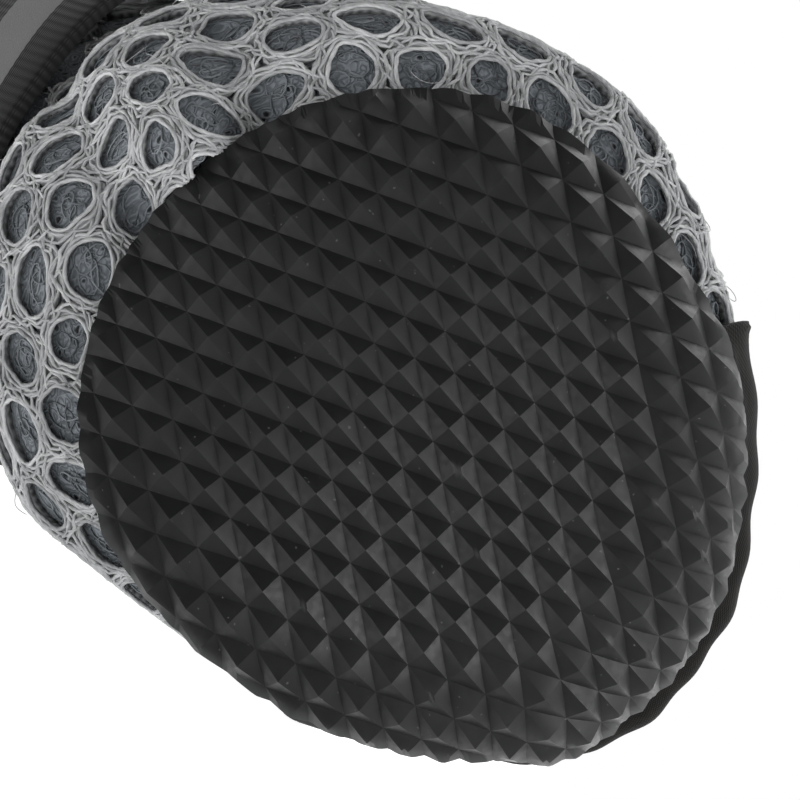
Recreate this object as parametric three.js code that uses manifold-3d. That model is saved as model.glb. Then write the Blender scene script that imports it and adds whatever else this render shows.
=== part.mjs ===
// A soft dog boot: a rubber sole with diamond studs, a spacer-mesh upper, a toe cap, an ankle strap,
// a bound collar and an insole. It is worked out in the boot's own frame, in millimetres, with +X to
// the toe, +Y to the boot's left and +Z up from the sole, and then laid on its left side.
import * as THREE from "three";
import { mergeVertices } from "three/addons/utils/BufferGeometryUtils.js";
import Module from "manifold-3d";

const wasm = await Module();
wasm.setup();

const DEG = Math.PI / 180;
const TURN = 2 * Math.PI;
const GAP = 0.3;

// ---------------------------------------------------------------- driving sizes, millimetres

// The sole is an egg-shaped sheet: two half ellipses that meet at its widest place.
const SOLE = {
  widestX: -3.5,
  toeLength: 30.4,
  heelLength: 21,
  halfWidth: 22.1,
  base: 1.7,
  outlineSteps: 72,
};
// The outline swells softly at two places, by a share of its radius: facing the angle in degrees, 0 at
// the toe and 90 on the boot's left, and over a spread.
const SWELLS = [
  { facing: 19, spread: 9, share: 0.035 },
  { facing: -60, spread: 12, share: 0.03 },
];
// Diamond studs: long diagonal along the boot, short diagonal across it.
const STUD = { length: 5.24, width: 2.88, height: 0.8, phaseX: 1.34, phaseY: -0.18 };
// The sheet bends up towards the heel and, less, towards the toe.
const BEND = { heelFrom: 0, heelRadius: 75, toeFrom: 2, toeRadius: 170 };
// Its rim curls up. Facing is -1 at the heel, 0 at the sides and 1 at the toe.
const RIM_CURL = [
  { facing: -1, width: 5, angle: 8 },
  { facing: 0, width: 6.5, angle: 36 },
  { facing: 1, width: 11, angle: 50 },
];

// Share of the sole's radius at the upper's lasting edge and at the rim.
const LASTING_SHARE = 0.78;
const WALL = 2.5;
const COLLAR_WALL = 1.6;

// Sections of the foot, each a ring through a back point and a front point, [x, z]. widestAt is the
// share of the way from back to front where the ring is widest, and pinch narrows its front half to the
// nose. lean turns the ring's sides down on the boot's left, in degrees, and shift moves it to the left.
const FOOT_SECTIONS = [
  {
    name: "widest", back: [-30.2, 7.4], front: [26.9, 12],
    widestAt: 0.41, halfWidth: 26.8, pinch: 0.14, lean: 0, shift: -0.5,
  },
  {
    name: "vamp", back: [-35.4, 11.4], front: [23.6, 20.5],
    widestAt: 0.42, halfWidth: 26.6, pinch: 0.1, lean: 2, shift: 0.6,
  },
  {
    name: "instep", back: [-38.4, 16], front: [10.5, 30],
    widestAt: 0.47, halfWidth: 25, pinch: 0, lean: 5, shift: 1.2,
  },
];
// The shaft's middle line is walked from the ankle: each section lies a rise further along it.
// leanBack is its lean towards the heel there, and leanLeft its lean to the boot's left. Above the
// strap the slack shaft droops to the left, on to the floor that the boot lies on.
const ANKLE = { x: -23.8, z: 30.8, shift: 2.8 };
const SHAFT_SECTIONS = [
  { name: "ankle", rise: 0, leanBack: 34, leanLeft: 10, halfLength: 19.2, halfWidth: 19.8 },
  { name: "strap top", rise: 16, leanBack: 30, leanLeft: 17, halfLength: 18.9, halfWidth: 19 },
  { name: "shaft", rise: 8, leanBack: 20, leanLeft: 25, halfLength: 19.2, halfWidth: 20 },
  { name: "collar", rise: 10, leanBack: 12, leanLeft: 25, halfLength: 20.8, halfWidth: 21.6 },
];

const STEPS = { around: 48, perSection: 3 };

const TOE_CAP = { thickness: 0.9, sideX: 8.6, topX: 12.5, topZ: 33, rimClearance: 0.45 };
const STRAP = { thickness: 1.3, start: -150, overlap: 58, rampFrom: 318, tipLength: 16, stepsAround: 62 };
const BINDING = { thickness: 0.7 };
const INSOLE = { thickness: 2.4, rings: 3 };

// How the boot lies: turned onto its left side, with its toe dipped, so that its sole's edge, its mesh
// and its collar all touch the floor. Soft pieces are pressed flat there, softened over this height.
const LIE = { roll: -85, toeDip: 12, pressSoftness: 0.6 };

// ---------------------------------------------------------------- small helpers

const mix = (a, b, t) => a + (b - a) * t;
const clamp01 = (t) => Math.min(1, Math.max(0, t));
const smooth = (t) => clamp01(t) ** 2 * (3 - 2 * clamp01(t));

// Uniform Catmull-Rom between b and c.
function catmull(a, b, c, d, t) {
  const cubic = -a + 3 * b - 3 * c + d;
  const square = 2 * a - 5 * b + 4 * c - d;
  return 0.5 * (2 * b + (c - a) * t + square * t * t + cubic * t ** 3);
}

function geometryOf(points, faces) {
  const geometry = new THREE.BufferGeometry().setFromPoints(points);
  geometry.setIndex(faces.flat());
  return geometry;
}

function solidOf(geometry) {
  const bare = geometry.clone();
  bare.deleteAttribute("normal");
  bare.deleteAttribute("uv");
  const merged = mergeVertices(bare, 1e-4);
  return new wasm.Manifold(
    new wasm.Mesh({
      numProp: 3,
      vertProperties: new Float32Array(merged.attributes.position.array),
      triVerts: new Uint32Array(merged.index.array),
    }),
  );
}

function geometryOfSolid(solid) {
  const mesh = solid.getMesh();
  const geometry = new THREE.BufferGeometry();
  geometry.setAttribute("position", new THREE.BufferAttribute(mesh.vertProperties, mesh.numProp));
  geometry.setIndex(new THREE.BufferAttribute(mesh.triVerts, 1));
  return geometry;
}

// Two triangles for the four corners of a quad, counterclockwise from outside.
const quad = (a, b, c, d) => [
  [a, b, c],
  [a, c, d],
];

// ---------------------------------------------------------------- the sole's sheet

// Width and angle of the curled rim, in the direction that the angle phi faces.
function rimCurl(phi) {
  const facing = Math.cos(phi);
  const [heel, side, toe] = RIM_CURL;
  const end = facing > 0 ? toe : heel;
  const t = smooth(Math.abs(facing));
  return { width: mix(side.width, end.width, t), angle: mix(side.angle, end.angle, t) * DEG };
}

function swell(phi) {
  const bells = SWELLS.map(({ facing, spread, share }) => {
    const away = ((((phi / DEG - facing) % 360) + 540) % 360) - 180;
    return share * Math.exp(-((away / spread) ** 2));
  });
  return bells.reduce((total, bell) => total + bell, 1);
}

const soleReach = (phi) => (Math.cos(phi) > 0 ? SOLE.toeLength : SOLE.heelLength);

// Flat place of a share of the sole's radius in direction phi, counted from the sheet's widest place.
function flatPlace(share, phi) {
  const radius = share * swell(phi);
  return new THREE.Vector2(
    SOLE.widestX + radius * soleReach(phi) * Math.cos(phi),
    radius * SOLE.halfWidth * Math.sin(phi),
  );
}

// A flat length x along the boot becomes an arc that rises behind heelFrom and ahead of toeFrom.
function bend(x, height) {
  const heel = Math.max(0, BEND.heelFrom - x) / BEND.heelRadius;
  const toe = Math.max(0, x - BEND.toeFrom) / BEND.toeRadius;
  if (heel > 0) {
    const radius = BEND.heelRadius - height;
    return [BEND.heelFrom - radius * Math.sin(heel), BEND.heelRadius - radius * Math.cos(heel)];
  }
  if (toe > 0) {
    const radius = BEND.toeRadius - height;
    return [BEND.toeFrom + radius * Math.sin(toe), BEND.toeRadius - radius * Math.cos(toe)];
  }
  return [x, height];
}

// The sole's upper face at a flat place: the rim is rolled on to an arc, then the sheet is bent
// lengthwise.
function soleFace(x, y) {
  const ahead = x - SOLE.widestX;
  const reach = ahead > 0 ? SOLE.toeLength : SOLE.heelLength;
  const phi = Math.atan2(y / SOLE.halfWidth, ahead / reach);
  const radius = Math.hypot(ahead, y);
  const share = Math.hypot(ahead / reach, y / SOLE.halfWidth) / swell(phi);
  const edge = share > 1e-9 ? radius / share : reach;
  const { width, angle } = rimCurl(phi);
  const rolled = radius - (edge - width);
  let out = 1;
  let rise = 0;
  if (rolled > 0) {
    const turned = (angle * rolled) / width;
    out = (edge - width + (width / angle) * Math.sin(turned)) / radius;
    rise = (width / angle) * (1 - Math.cos(turned));
  }
  const [bentX, bentZ] = bend(SOLE.widestX + ahead * out, rise);
  return new THREE.Vector3(bentX, y * out, bentZ + SOLE.base + STUD.height);
}

// The same face moved along its upward normal.
function soleOffset(x, y, offset) {
  const step = 0.05;
  const alongX = soleFace(x + step, y).sub(soleFace(x - step, y));
  const alongY = soleFace(x, y + step).sub(soleFace(x, y - step));
  const normal = alongX.cross(alongY).normalize();
  return soleFace(x, y).addScaledVector(normal, offset);
}

// A flat sheet of diamond cells with a stud under each, wide enough for the outline to be cut from it.
function studSheet() {
  const halfL = STUD.length / 2;
  const halfW = STUD.width / 2;
  const columns = Math.ceil((SOLE.toeLength - SOLE.widestX) / halfL) + 1;
  const rows = Math.ceil(SOLE.halfWidth / halfW) + 1;
  const points = [];
  const index = new Map();
  const vertex = (i, j, z) => {
    const key = `${i},${j},${z}`;
    if (!index.has(key)) {
      index.set(key, points.length);
      points.push(new THREE.Vector3(STUD.phaseX + i * halfL, STUD.phaseY + j * halfW, z));
    }
    return index.get(key);
  };
  const faces = [];
  const edges = new Map();
  for (let i = -columns; i <= columns; i++) {
    for (let j = -rows; j <= rows; j++) {
      if ((i + j) % 2 === 0) continue;
      const ring = [[i + 1, j], [i, j + 1], [i - 1, j], [i, j - 1]];
      const top = vertex(i, j, 0);
      const tip = vertex(i, j, -SOLE.base - STUD.height);
      ring.forEach(([ai, aj], k) => {
        const [bi, bj] = ring[(k + 1) % 4];
        faces.push([top, vertex(ai, aj, 0), vertex(bi, bj, 0)]);
        faces.push([tip, vertex(bi, bj, -SOLE.base), vertex(ai, aj, -SOLE.base)]);
        const back = `${bi},${bj}>${ai},${aj}`;
        if (!edges.delete(back)) edges.set(`${ai},${aj}>${bi},${bj}`, [ai, aj, bi, bj]);
      });
    }
  }
  for (const [ai, aj, bi, bj] of edges.values()) {
    const [lowA, lowB] = [vertex(ai, aj, -SOLE.base), vertex(bi, bj, -SOLE.base)];
    faces.push(...quad(lowA, lowB, vertex(bi, bj, 0), vertex(ai, aj, 0)));
  }
  return solidOf(geometryOf(points, faces));
}

function soleOutlineBlock() {
  const shape = new THREE.Shape();
  for (let k = 0; k < SOLE.outlineSteps; k++) {
    const place = flatPlace(1, (k / SOLE.outlineSteps) * TURN);
    if (k === 0) shape.moveTo(place.x, place.y);
    else shape.lineTo(place.x, place.y);
  }
  const depth = 4 * (SOLE.base + STUD.height);
  const block = new THREE.ExtrudeGeometry(shape, { depth, bevelEnabled: false });
  return solidOf(block.translate(0, 0, -depth / 2));
}

function outsole() {
  const flat = geometryOfSolid(studSheet().intersect(soleOutlineBlock()));
  const position = flat.attributes.position;
  for (let k = 0; k < position.count; k++) {
    const bent = soleOffset(position.getX(k), position.getY(k), position.getZ(k));
    position.setXYZ(k, bent.x, bent.y, bent.z);
  }
  return flat;
}

// ---------------------------------------------------------------- the last: the upper's outer surface

function shaftSections() {
  let { x, z, shift } = ANKLE;
  return SHAFT_SECTIONS.map(({ rise, leanBack, leanLeft, halfLength, halfWidth }) => {
    const [sin, cos] = [Math.sin(leanBack * DEG), Math.cos(leanBack * DEG)];
    const upright = rise * Math.cos(leanLeft * DEG);
    x -= upright * sin;
    z += upright * cos;
    shift += rise * Math.sin(leanLeft * DEG);
    return {
      back: [x - halfLength * cos, z - halfLength * sin],
      front: [x + halfLength * cos, z + halfLength * sin],
      widestAt: 0.5,
      halfWidth,
      pinch: 0,
      lean: leanLeft,
      shift,
    };
  });
}

const SECTIONS = [...FOOT_SECTIONS, ...shaftSections()];

// The rows that the surface runs through: two on the sole's upper face, then the sections.
const ROW = { lasting: 0, rim: 1, widest: 2, vamp: 3, instep: 4, ankle: 5, strapTop: 6, collar: 8 };
const SOLE_ROW_SHARES = [LASTING_SHARE, 1];

function sectionPoint(section, phi) {
  const { back, front, widestAt, pinch } = section;
  const [alongX, alongZ] = [front[0] - back[0], front[1] - back[1]];
  const length = Math.hypot(alongX, alongZ);
  const reach = Math.cos(phi) > 0 ? 1 - widestAt : widestAt;
  const share = widestAt + reach * Math.cos(phi);
  const side = section.halfWidth * Math.sin(phi) * (1 - pinch * smooth(Math.cos(phi)));
  const lean = section.lean * DEG;
  const sink = (side * Math.sin(lean)) / length;
  return new THREE.Vector3(
    back[0] + alongX * share + alongZ * sink,
    section.shift + side * Math.cos(lean),
    back[1] + alongZ * share - alongX * sink,
  );
}

function rowPoint(row, phi) {
  const k = Math.min(Math.max(row, 0), ROW.collar);
  if (k < SOLE_ROW_SHARES.length) {
    const place = flatPlace(SOLE_ROW_SHARES[k], phi);
    return soleOffset(place.x, place.y, GAP);
  }
  return sectionPoint(SECTIONS[k - SOLE_ROW_SHARES.length], phi);
}

function lastSurface(v, phi) {
  if (v <= ROW.rim) {
    const place = flatPlace(mix(LASTING_SHARE, 1, v), phi);
    return soleOffset(place.x, place.y, GAP);
  }
  const row = Math.min(Math.floor(v), ROW.collar - 1);
  const [a, b, c, d] = [-1, 0, 1, 2].map((k) => rowPoint(row + k, phi));
  const t = v - row;
  return new THREE.Vector3(
    catmull(a.x, b.x, c.x, d.x, t),
    catmull(a.y, b.y, c.y, d.y, t),
    catmull(a.z, b.z, c.z, d.z, t),
  );
}

// The binding's lower edge runs along the upper's last row of facets but one.
const BINDING_LOW = ROW.collar - 1 / STEPS.perSection;

// ---------------------------------------------------------------- how it lies

const sole = outsole();

const lying = new THREE.Euler(LIE.roll * DEG, 0, LIE.toeDip * DEG);
const lyingTurn = new THREE.Quaternion().setFromEuler(lying);
// The floor's upward normal in the boot's own frame.
const floorNormal = new THREE.Vector3(0, 0, 1).applyQuaternion(lyingTurn.clone().invert());
const floorLevel = lowestAlong(sole, floorNormal);

function lowestAlong(geometry, direction) {
  const { array } = geometry.attributes.position;
  let lowest = Infinity;
  for (let k = 0; k < array.length; k += 3) {
    const reach = array[k] * direction.x + array[k + 1] * direction.y + array[k + 2] * direction.z;
    lowest = Math.min(lowest, reach);
  }
  return lowest;
}

// Thickness of the pieces over the upper at a place, which the floor leaves room for.
function coverAt(v, x) {
  const fade = 0.3;
  const strap = smooth((v - ROW.ankle) / fade + 1) * smooth((ROW.strapTop - v) / fade + 1);
  const binding = smooth((v - BINDING_LOW) / fade + 1);
  const cap = smooth((v - ROW.rim) / 0.1 + 0.5) * smooth((x - TOE_CAP.sideX) / 2 + 2.6);
  return Math.max(
    strap * (GAP + STRAP.thickness),
    binding * (GAP + BINDING.thickness),
    cap * (GAP + TOE_CAP.thickness),
  );
}

// The last's surface, pressed flat where it would pass through the floor.
function restingSurface(v, phi) {
  const point = lastSurface(v, phi);
  const height = point.dot(floorNormal) - floorLevel - coverAt(v, point.x);
  const soft = LIE.pressSoftness;
  if (height >= soft) return point;
  const lifted = Math.max(0, height + soft) ** 2 / (4 * soft);
  return point.addScaledVector(floorNormal, lifted - height);
}

function restingNormal(v, phi) {
  const step = 0.02;
  const low = restingSurface(Math.max(0, v - step), phi);
  const up = restingSurface(Math.min(ROW.collar, v + step), phi).sub(low);
  const round = restingSurface(v, phi + step).sub(restingSurface(v, phi - step));
  return round.cross(up).normalize();
}

const laid = (v, phi, offset) => restingSurface(v, phi).addScaledVector(restingNormal(v, phi), offset);

// ---------------------------------------------------------------- shells on the last

// A closed sheet around the boot between two offsets, which may vary with v.
function ringShell(fromV, toV, rows, outer, inner) {
  const points = [];
  const at = (skin, i, j) => (skin * (rows + 1) + i) * STEPS.around + (j % STEPS.around);
  for (const skin of [outer, inner]) {
    for (let i = 0; i <= rows; i++) {
      const v = mix(fromV, toV, i / rows);
      for (let j = 0; j < STEPS.around; j++) {
        points.push(laid(v, (j / STEPS.around) * TURN, skin(v)));
      }
    }
  }
  const faces = [];
  for (let j = 0; j < STEPS.around; j++) {
    for (let i = 0; i < rows; i++) {
      faces.push(...quad(at(0, i, j), at(0, i, j + 1), at(0, i + 1, j + 1), at(0, i + 1, j)));
      faces.push(...quad(at(1, i, j), at(1, i + 1, j), at(1, i + 1, j + 1), at(1, i, j + 1)));
    }
    faces.push(...quad(at(0, 0, j), at(1, 0, j), at(1, 0, j + 1), at(0, 0, j + 1)));
    faces.push(...quad(at(0, rows, j), at(0, rows, j + 1), at(1, rows, j + 1), at(1, rows, j)));
  }
  return geometryOf(points, faces);
}

const wallAt = (v) => mix(WALL, COLLAR_WALL, smooth(v - ROW.collar + 1));

function upper() {
  const rows = ROW.collar * STEPS.perSection;
  return ringShell(ROW.lasting, ROW.collar, rows, () => 0, (v) => -wallAt(v));
}

// The last grown by an offset, closed across its two ends, as a form to cut overlays from.
function grownForm(offset) {
  const rows = ROW.collar * STEPS.perSection;
  const points = [];
  for (let i = 0; i <= rows; i++) {
    for (let j = 0; j < STEPS.around; j++) {
      points.push(laid((i / rows) * ROW.collar, (j / STEPS.around) * TURN, offset));
    }
  }
  const ends = [0, rows].map((i) => {
    const centre = new THREE.Vector3();
    for (let j = 0; j < STEPS.around; j++) centre.add(points[i * STEPS.around + j]);
    return points.push(centre.divideScalar(STEPS.around)) - 1;
  });
  const at = (i, j) => i * STEPS.around + (j % STEPS.around);
  const faces = [];
  for (let j = 0; j < STEPS.around; j++) {
    for (let i = 0; i < rows; i++) {
      faces.push(...quad(at(i, j), at(i, j + 1), at(i + 1, j + 1), at(i + 1, j)));
    }
    faces.push([ends[0], at(0, j + 1), at(0, j)], [ends[1], at(rows, j), at(rows, j + 1)]);
  }
  return solidOf(geometryOf(points, faces));
}

// Side outline of the toe cap's piece: along the sole's rim, round the toe and back down its rear edge.
function toeCapBlock() {
  const shape = new THREE.Shape();
  const reach = Math.acos((TOE_CAP.sideX - SOLE.widestX) / SOLE.toeLength);
  const rimSteps = 8;
  for (let k = 0; k <= rimSteps; k++) {
    const rim = lastSurface(ROW.rim, mix(reach, 0, k / rimSteps));
    if (k === 0) shape.moveTo(TOE_CAP.sideX, rim.z + TOE_CAP.rimClearance);
    else shape.lineTo(rim.x, rim.z + TOE_CAP.rimClearance);
  }
  const beyond = 2 * SOLE.toeLength;
  const nose = lastSurface(ROW.rim, 0);
  shape.lineTo(beyond, nose.z + TOE_CAP.rimClearance);
  shape.lineTo(beyond, TOE_CAP.topZ);
  shape.lineTo(TOE_CAP.topX, TOE_CAP.topZ);
  shape.quadraticCurveTo(TOE_CAP.topX, mix(nose.z, TOE_CAP.topZ, 0.4), TOE_CAP.sideX, nose.z - 1);
  const depth = 3 * SOLE.halfWidth;
  const block = new THREE.ExtrudeGeometry(shape, { depth, bevelEnabled: false, curveSegments: 8 });
  return solidOf(block.rotateX(Math.PI / 2).translate(0, depth / 2, 0));
}

function toeCap() {
  const sheet = grownForm(GAP + TOE_CAP.thickness).subtract(grownForm(GAP));
  return geometryOfSolid(sheet.intersect(toeCapBlock()));
}

// A flat strap once round the ankle whose end climbs over its start and tapers to a round tip.
function ankleStrap() {
  const total = 360 + STRAP.overlap;
  const raised = STRAP.thickness + GAP;
  const middle = (ROW.ankle + ROW.strapTop) / 2;
  const across = 4;
  const points = [];
  for (let k = 0; k <= STRAP.stepsAround; k++) {
    const turned = (total * k) / STRAP.stepsAround;
    const phi = (STRAP.start + turned) * DEG;
    const lift = raised * smooth((turned - STRAP.rampFrom) / (360 - STRAP.rampFrom - 4));
    const past = clamp01((turned - total) / STRAP.tipLength + 1);
    const half = 0.5 * Math.sqrt(1 - 0.96 * past * past);
    for (const thick of [0, STRAP.thickness]) {
      for (let i = 0; i <= across; i++) {
        const v = middle + half * (2 * (i / across) - 1);
        points.push(laid(v, phi, GAP + lift + thick));
      }
    }
  }
  const ring = 2 * (across + 1);
  const at = (k, thick, i) => k * ring + thick * (across + 1) + i;
  const faces = [];
  for (let k = 0; k < STRAP.stepsAround; k++) {
    for (let i = 0; i < across; i++) {
      faces.push(...quad(at(k, 1, i), at(k + 1, 1, i), at(k + 1, 1, i + 1), at(k, 1, i + 1)));
      faces.push(...quad(at(k, 0, i), at(k, 0, i + 1), at(k + 1, 0, i + 1), at(k + 1, 0, i)));
    }
    faces.push(...quad(at(k, 0, 0), at(k + 1, 0, 0), at(k + 1, 1, 0), at(k, 1, 0)));
    const [low, high] = [at(k, 0, across), at(k + 1, 0, across)];
    faces.push(...quad(low, at(k, 1, across), at(k + 1, 1, across), high));
  }
  for (let i = 0; i < across; i++) {
    const last = STRAP.stepsAround;
    faces.push(...quad(at(0, 0, i), at(0, 1, i), at(0, 1, i + 1), at(0, 0, i + 1)));
    faces.push(...quad(at(last, 0, i), at(last, 0, i + 1), at(last, 1, i + 1), at(last, 1, i)));
  }
  return geometryOf(points, faces);
}

// A folded ribbon over the collar's edge: a U section carried round the collar.
function collarBinding() {
  const [near, far] = [GAP, GAP + BINDING.thickness];
  const profile = [
    { v: BINDING_LOW, offset: near, above: 0 },
    { v: BINDING_LOW, offset: far, above: 0 },
    { v: ROW.collar, offset: far, above: 0 },
    { v: ROW.collar, offset: 0, above: far },
    { v: ROW.collar, offset: -COLLAR_WALL, above: far },
    { v: ROW.collar, offset: -COLLAR_WALL - far, above: 0 },
    { v: BINDING_LOW, offset: -WALL - far, above: 0 },
    { v: BINDING_LOW, offset: -WALL - near, above: 0 },
    { v: ROW.collar, offset: -COLLAR_WALL - near, above: 0 },
    { v: ROW.collar, offset: -COLLAR_WALL, above: near },
    { v: ROW.collar, offset: 0, above: near },
    { v: ROW.collar, offset: near, above: 0 },
  ];
  const points = [];
  for (let j = 0; j < STEPS.around; j++) {
    const phi = (j / STEPS.around) * TURN;
    const edge = restingSurface(ROW.collar, phi);
    const up = edge.sub(restingSurface(ROW.collar - 0.1, phi)).normalize();
    for (const { v, offset, above } of profile) {
      points.push(laid(v, phi, offset).addScaledVector(up, above));
    }
  }
  const n = profile.length;
  const at = (j, k) => (j % STEPS.around) * n + (k % n);
  const faces = [];
  for (let j = 0; j < STEPS.around; j++) {
    for (let k = 0; k < n; k++) {
      // Each quad is split the same way as the upper's facet beside it.
      const [a, b, c, d] = [at(j, k), at(j + 1, k), at(j + 1, k + 1), at(j, k + 1)];
      const rises = profile[(k + 1) % n].v >= profile[k].v;
      faces.push(...(rises ? quad(a, b, c, d) : quad(b, c, d, a)));
    }
  }
  return geometryOf(points, faces);
}

// A foam footbed on the sole, inside the upper's lasting edge.
function insole() {
  const margin = (2 * GAP) / SOLE.halfWidth;
  const points = [];
  const { rings } = INSOLE;
  const { around } = STEPS;
  for (const height of [GAP, GAP + INSOLE.thickness]) {
    points.push(soleOffset(SOLE.widestX, 0, height));
    for (let i = 1; i <= rings; i++) {
      const share = ((LASTING_SHARE - margin) * i) / rings;
      for (let j = 0; j < around; j++) {
        const place = flatPlace(share, (j / around) * TURN);
        points.push(soleOffset(place.x, place.y, height));
      }
    }
  }
  const layer = 1 + rings * around;
  const at = (level, i, j) => level * layer + (i === 0 ? 0 : 1 + (i - 1) * around + (j % around));
  const faces = [];
  for (let j = 0; j < around; j++) {
    faces.push([at(1, 0, 0), at(1, 1, j), at(1, 1, j + 1)]);
    faces.push([at(0, 0, 0), at(0, 1, j + 1), at(0, 1, j)]);
    for (let i = 1; i < rings; i++) {
      faces.push(...quad(at(1, i, j), at(1, i + 1, j), at(1, i + 1, j + 1), at(1, i, j + 1)));
      faces.push(...quad(at(0, i, j), at(0, i, j + 1), at(0, i + 1, j + 1), at(0, i + 1, j)));
    }
    faces.push(...quad(at(0, rings, j), at(0, rings, j + 1), at(1, rings, j + 1), at(1, rings, j)));
  }
  return geometryOf(points, faces);
}

// ---------------------------------------------------------------- the assembly

const FINISHES = {
  outsole: { color: 0x1c1c1e, roughness: 0.45, metalness: 0 },
  insole: { color: 0x3a3b3e, roughness: 0.95, metalness: 0 },
  upper: { color: 0x9fa1a4, roughness: 0.85, metalness: 0 },
  toe_cap: { color: 0x161415, roughness: 0.6, metalness: 0 },
  ankle_strap: { color: 0x1a1a1b, roughness: 0.8, metalness: 0 },
  collar_binding: { color: 0x1a1a1b, roughness: 0.85, metalness: 0 },
};

const PIECES = {
  outsole: sole,
  insole: insole(),
  upper: upper(),
  toe_cap: toeCap(),
  ankle_strap: ankleStrap(),
  collar_binding: collarBinding(),
};

const boot = new THREE.Group();
for (const [name, geometry] of Object.entries(PIECES)) {
  const mesh = new THREE.Mesh(geometry, new THREE.MeshStandardMaterial(FINISHES[name]));
  mesh.name = name;
  boot.add(mesh);
}
boot.rotation.copy(lying);
boot.updateMatrixWorld(true);

// The origin is on the floor, below the middle of the boot's bounding box.
const bounds = new THREE.Box3().setFromObject(boot, true);
const middle = bounds.getCenter(new THREE.Vector3());
boot.position.set(-middle.x, -middle.y, -floorLevel);

const scene = new THREE.Group();
scene.add(boot);

export default scene;
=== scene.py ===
"""Looks for the dog boot: a studded rubber sole, a large-hole spacer mesh, a toe cap, a ribbed strap,
a bound collar and an insole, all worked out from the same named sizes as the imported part.

Boot frame: millimetres, +X to the toe, +Y to the boot's left, +Z up from the sole. place() lays it
down on its left side, in the row frame, in metres.
"""

import math

import bpy
import numpy as np
from mathutils import Matrix, Vector

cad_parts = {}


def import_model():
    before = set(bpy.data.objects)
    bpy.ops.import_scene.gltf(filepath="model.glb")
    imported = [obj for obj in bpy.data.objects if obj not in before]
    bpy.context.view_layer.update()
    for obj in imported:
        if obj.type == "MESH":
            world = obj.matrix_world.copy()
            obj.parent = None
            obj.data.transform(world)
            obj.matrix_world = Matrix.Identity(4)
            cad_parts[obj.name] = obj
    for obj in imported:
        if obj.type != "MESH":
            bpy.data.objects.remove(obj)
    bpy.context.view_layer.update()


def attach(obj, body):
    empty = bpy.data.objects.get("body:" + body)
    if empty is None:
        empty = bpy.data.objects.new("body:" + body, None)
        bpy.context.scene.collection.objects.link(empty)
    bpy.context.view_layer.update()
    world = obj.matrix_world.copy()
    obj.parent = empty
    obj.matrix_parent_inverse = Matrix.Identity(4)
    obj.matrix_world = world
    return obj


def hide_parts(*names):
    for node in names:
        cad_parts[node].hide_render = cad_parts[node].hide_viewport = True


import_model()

# ------------------------------------------------------------ driving sizes, millimetres and degrees

DEG = math.pi / 180
TURN = 2 * math.pi
GAP = 0.3

SOLE = {"widest_x": -3.5, "toe_length": 30.4, "heel_length": 21, "half_width": 22.1, "base": 1.7}
SWELLS = [{"facing": 19, "spread": 9, "share": 0.035}, {"facing": -60, "spread": 12, "share": 0.03}]
STUD = {"length": 5.24, "width": 2.88, "height": 0.8, "phase_x": 1.34, "phase_y": -0.18}
BEND = {"heel_from": 0, "heel_radius": 75, "toe_from": 2, "toe_radius": 170}
RIM_CURL = {"heel": (5, 8), "side": (6.5, 36), "toe": (11, 50)}
LASTING_SHARE = 0.78
WALL = 2.5
COLLAR_WALL = 1.6

FOOT_SECTIONS = [
    {"back": (-30.2, 7.4), "front": (26.9, 12), "widest_at": 0.41, "half_width": 26.8,
     "pinch": 0.14, "lean": 0, "shift": -0.5},
    {"back": (-35.4, 11.4), "front": (23.6, 20.5), "widest_at": 0.42, "half_width": 26.6,
     "pinch": 0.1, "lean": 2, "shift": 0.6},
    {"back": (-38.4, 16), "front": (10.5, 30), "widest_at": 0.47, "half_width": 25,
     "pinch": 0, "lean": 5, "shift": 1.2},
]
ANKLE = {"x": -23.8, "z": 30.8, "shift": 2.8}
SHAFT_SECTIONS = [
    {"rise": 0, "lean_back": 34, "lean_left": 10, "half_length": 19.2, "half_width": 19.8},
    {"rise": 16, "lean_back": 30, "lean_left": 17, "half_length": 18.9, "half_width": 19},
    {"rise": 8, "lean_back": 20, "lean_left": 25, "half_length": 19.2, "half_width": 20},
    {"rise": 10, "lean_back": 12, "lean_left": 25, "half_length": 20.8, "half_width": 21.6},
]
ROW = {"lasting": 0, "rim": 1, "ankle": 5, "strap_top": 6, "collar": 8}
BINDING_LOW = ROW["collar"] - 1 / 3
# A row's usual height over the mesh, and over the cap and collar, and the boot's usual radius.
ROW_HEIGHT = 7.5
END_ROW_HEIGHT = 9
ROUND = 22

TOE_CAP = {"thickness": 0.9, "side_x": 8.6, "top_x": 12.5, "top_z": 33, "rim_clearance": 0.45, "round": 7}
STRAP = {"thickness": 1.3, "width": 16, "start": -150, "overlap": 58, "ramp_from": 318, "tip_length": 16}
# The strap is pulled down by rows, most at one angle, and stands off by millimetres round another.
STRAP_PULL = {"everywhere": 0.08, "most": 0.3, "at": 150}
STRAP_SLACK = {"most": 3.0, "at": 178}
# The reflective band's middle, up from the strap's lower edge, and half its width.
STRAP_BAND = {"middle": 9.6, "half": 2.64}
BINDING = {"thickness": 0.7}
INSOLE = {"thickness": 2.4}

# How the boot lies, and where its own origin stands in the row frame.
LIE = {"roll": -85, "toe_dip": 12, "softness": 0.6}
SEAT = np.array([15.573, -34.172, 22.192])

# ------------------------------------------------------------ small helpers


def mix(a, b, t):
    return a + (b - a) * t


def smooth(t):
    t = np.clip(t, 0, 1)
    return t * t * (3 - 2 * t)


def unit(vectors):
    length = np.linalg.norm(vectors, axis=-1, keepdims=True)
    return vectors / np.maximum(length, 1e-12)


def along(vectors, amounts):
    return vectors * np.asarray(amounts)[..., None]


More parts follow.
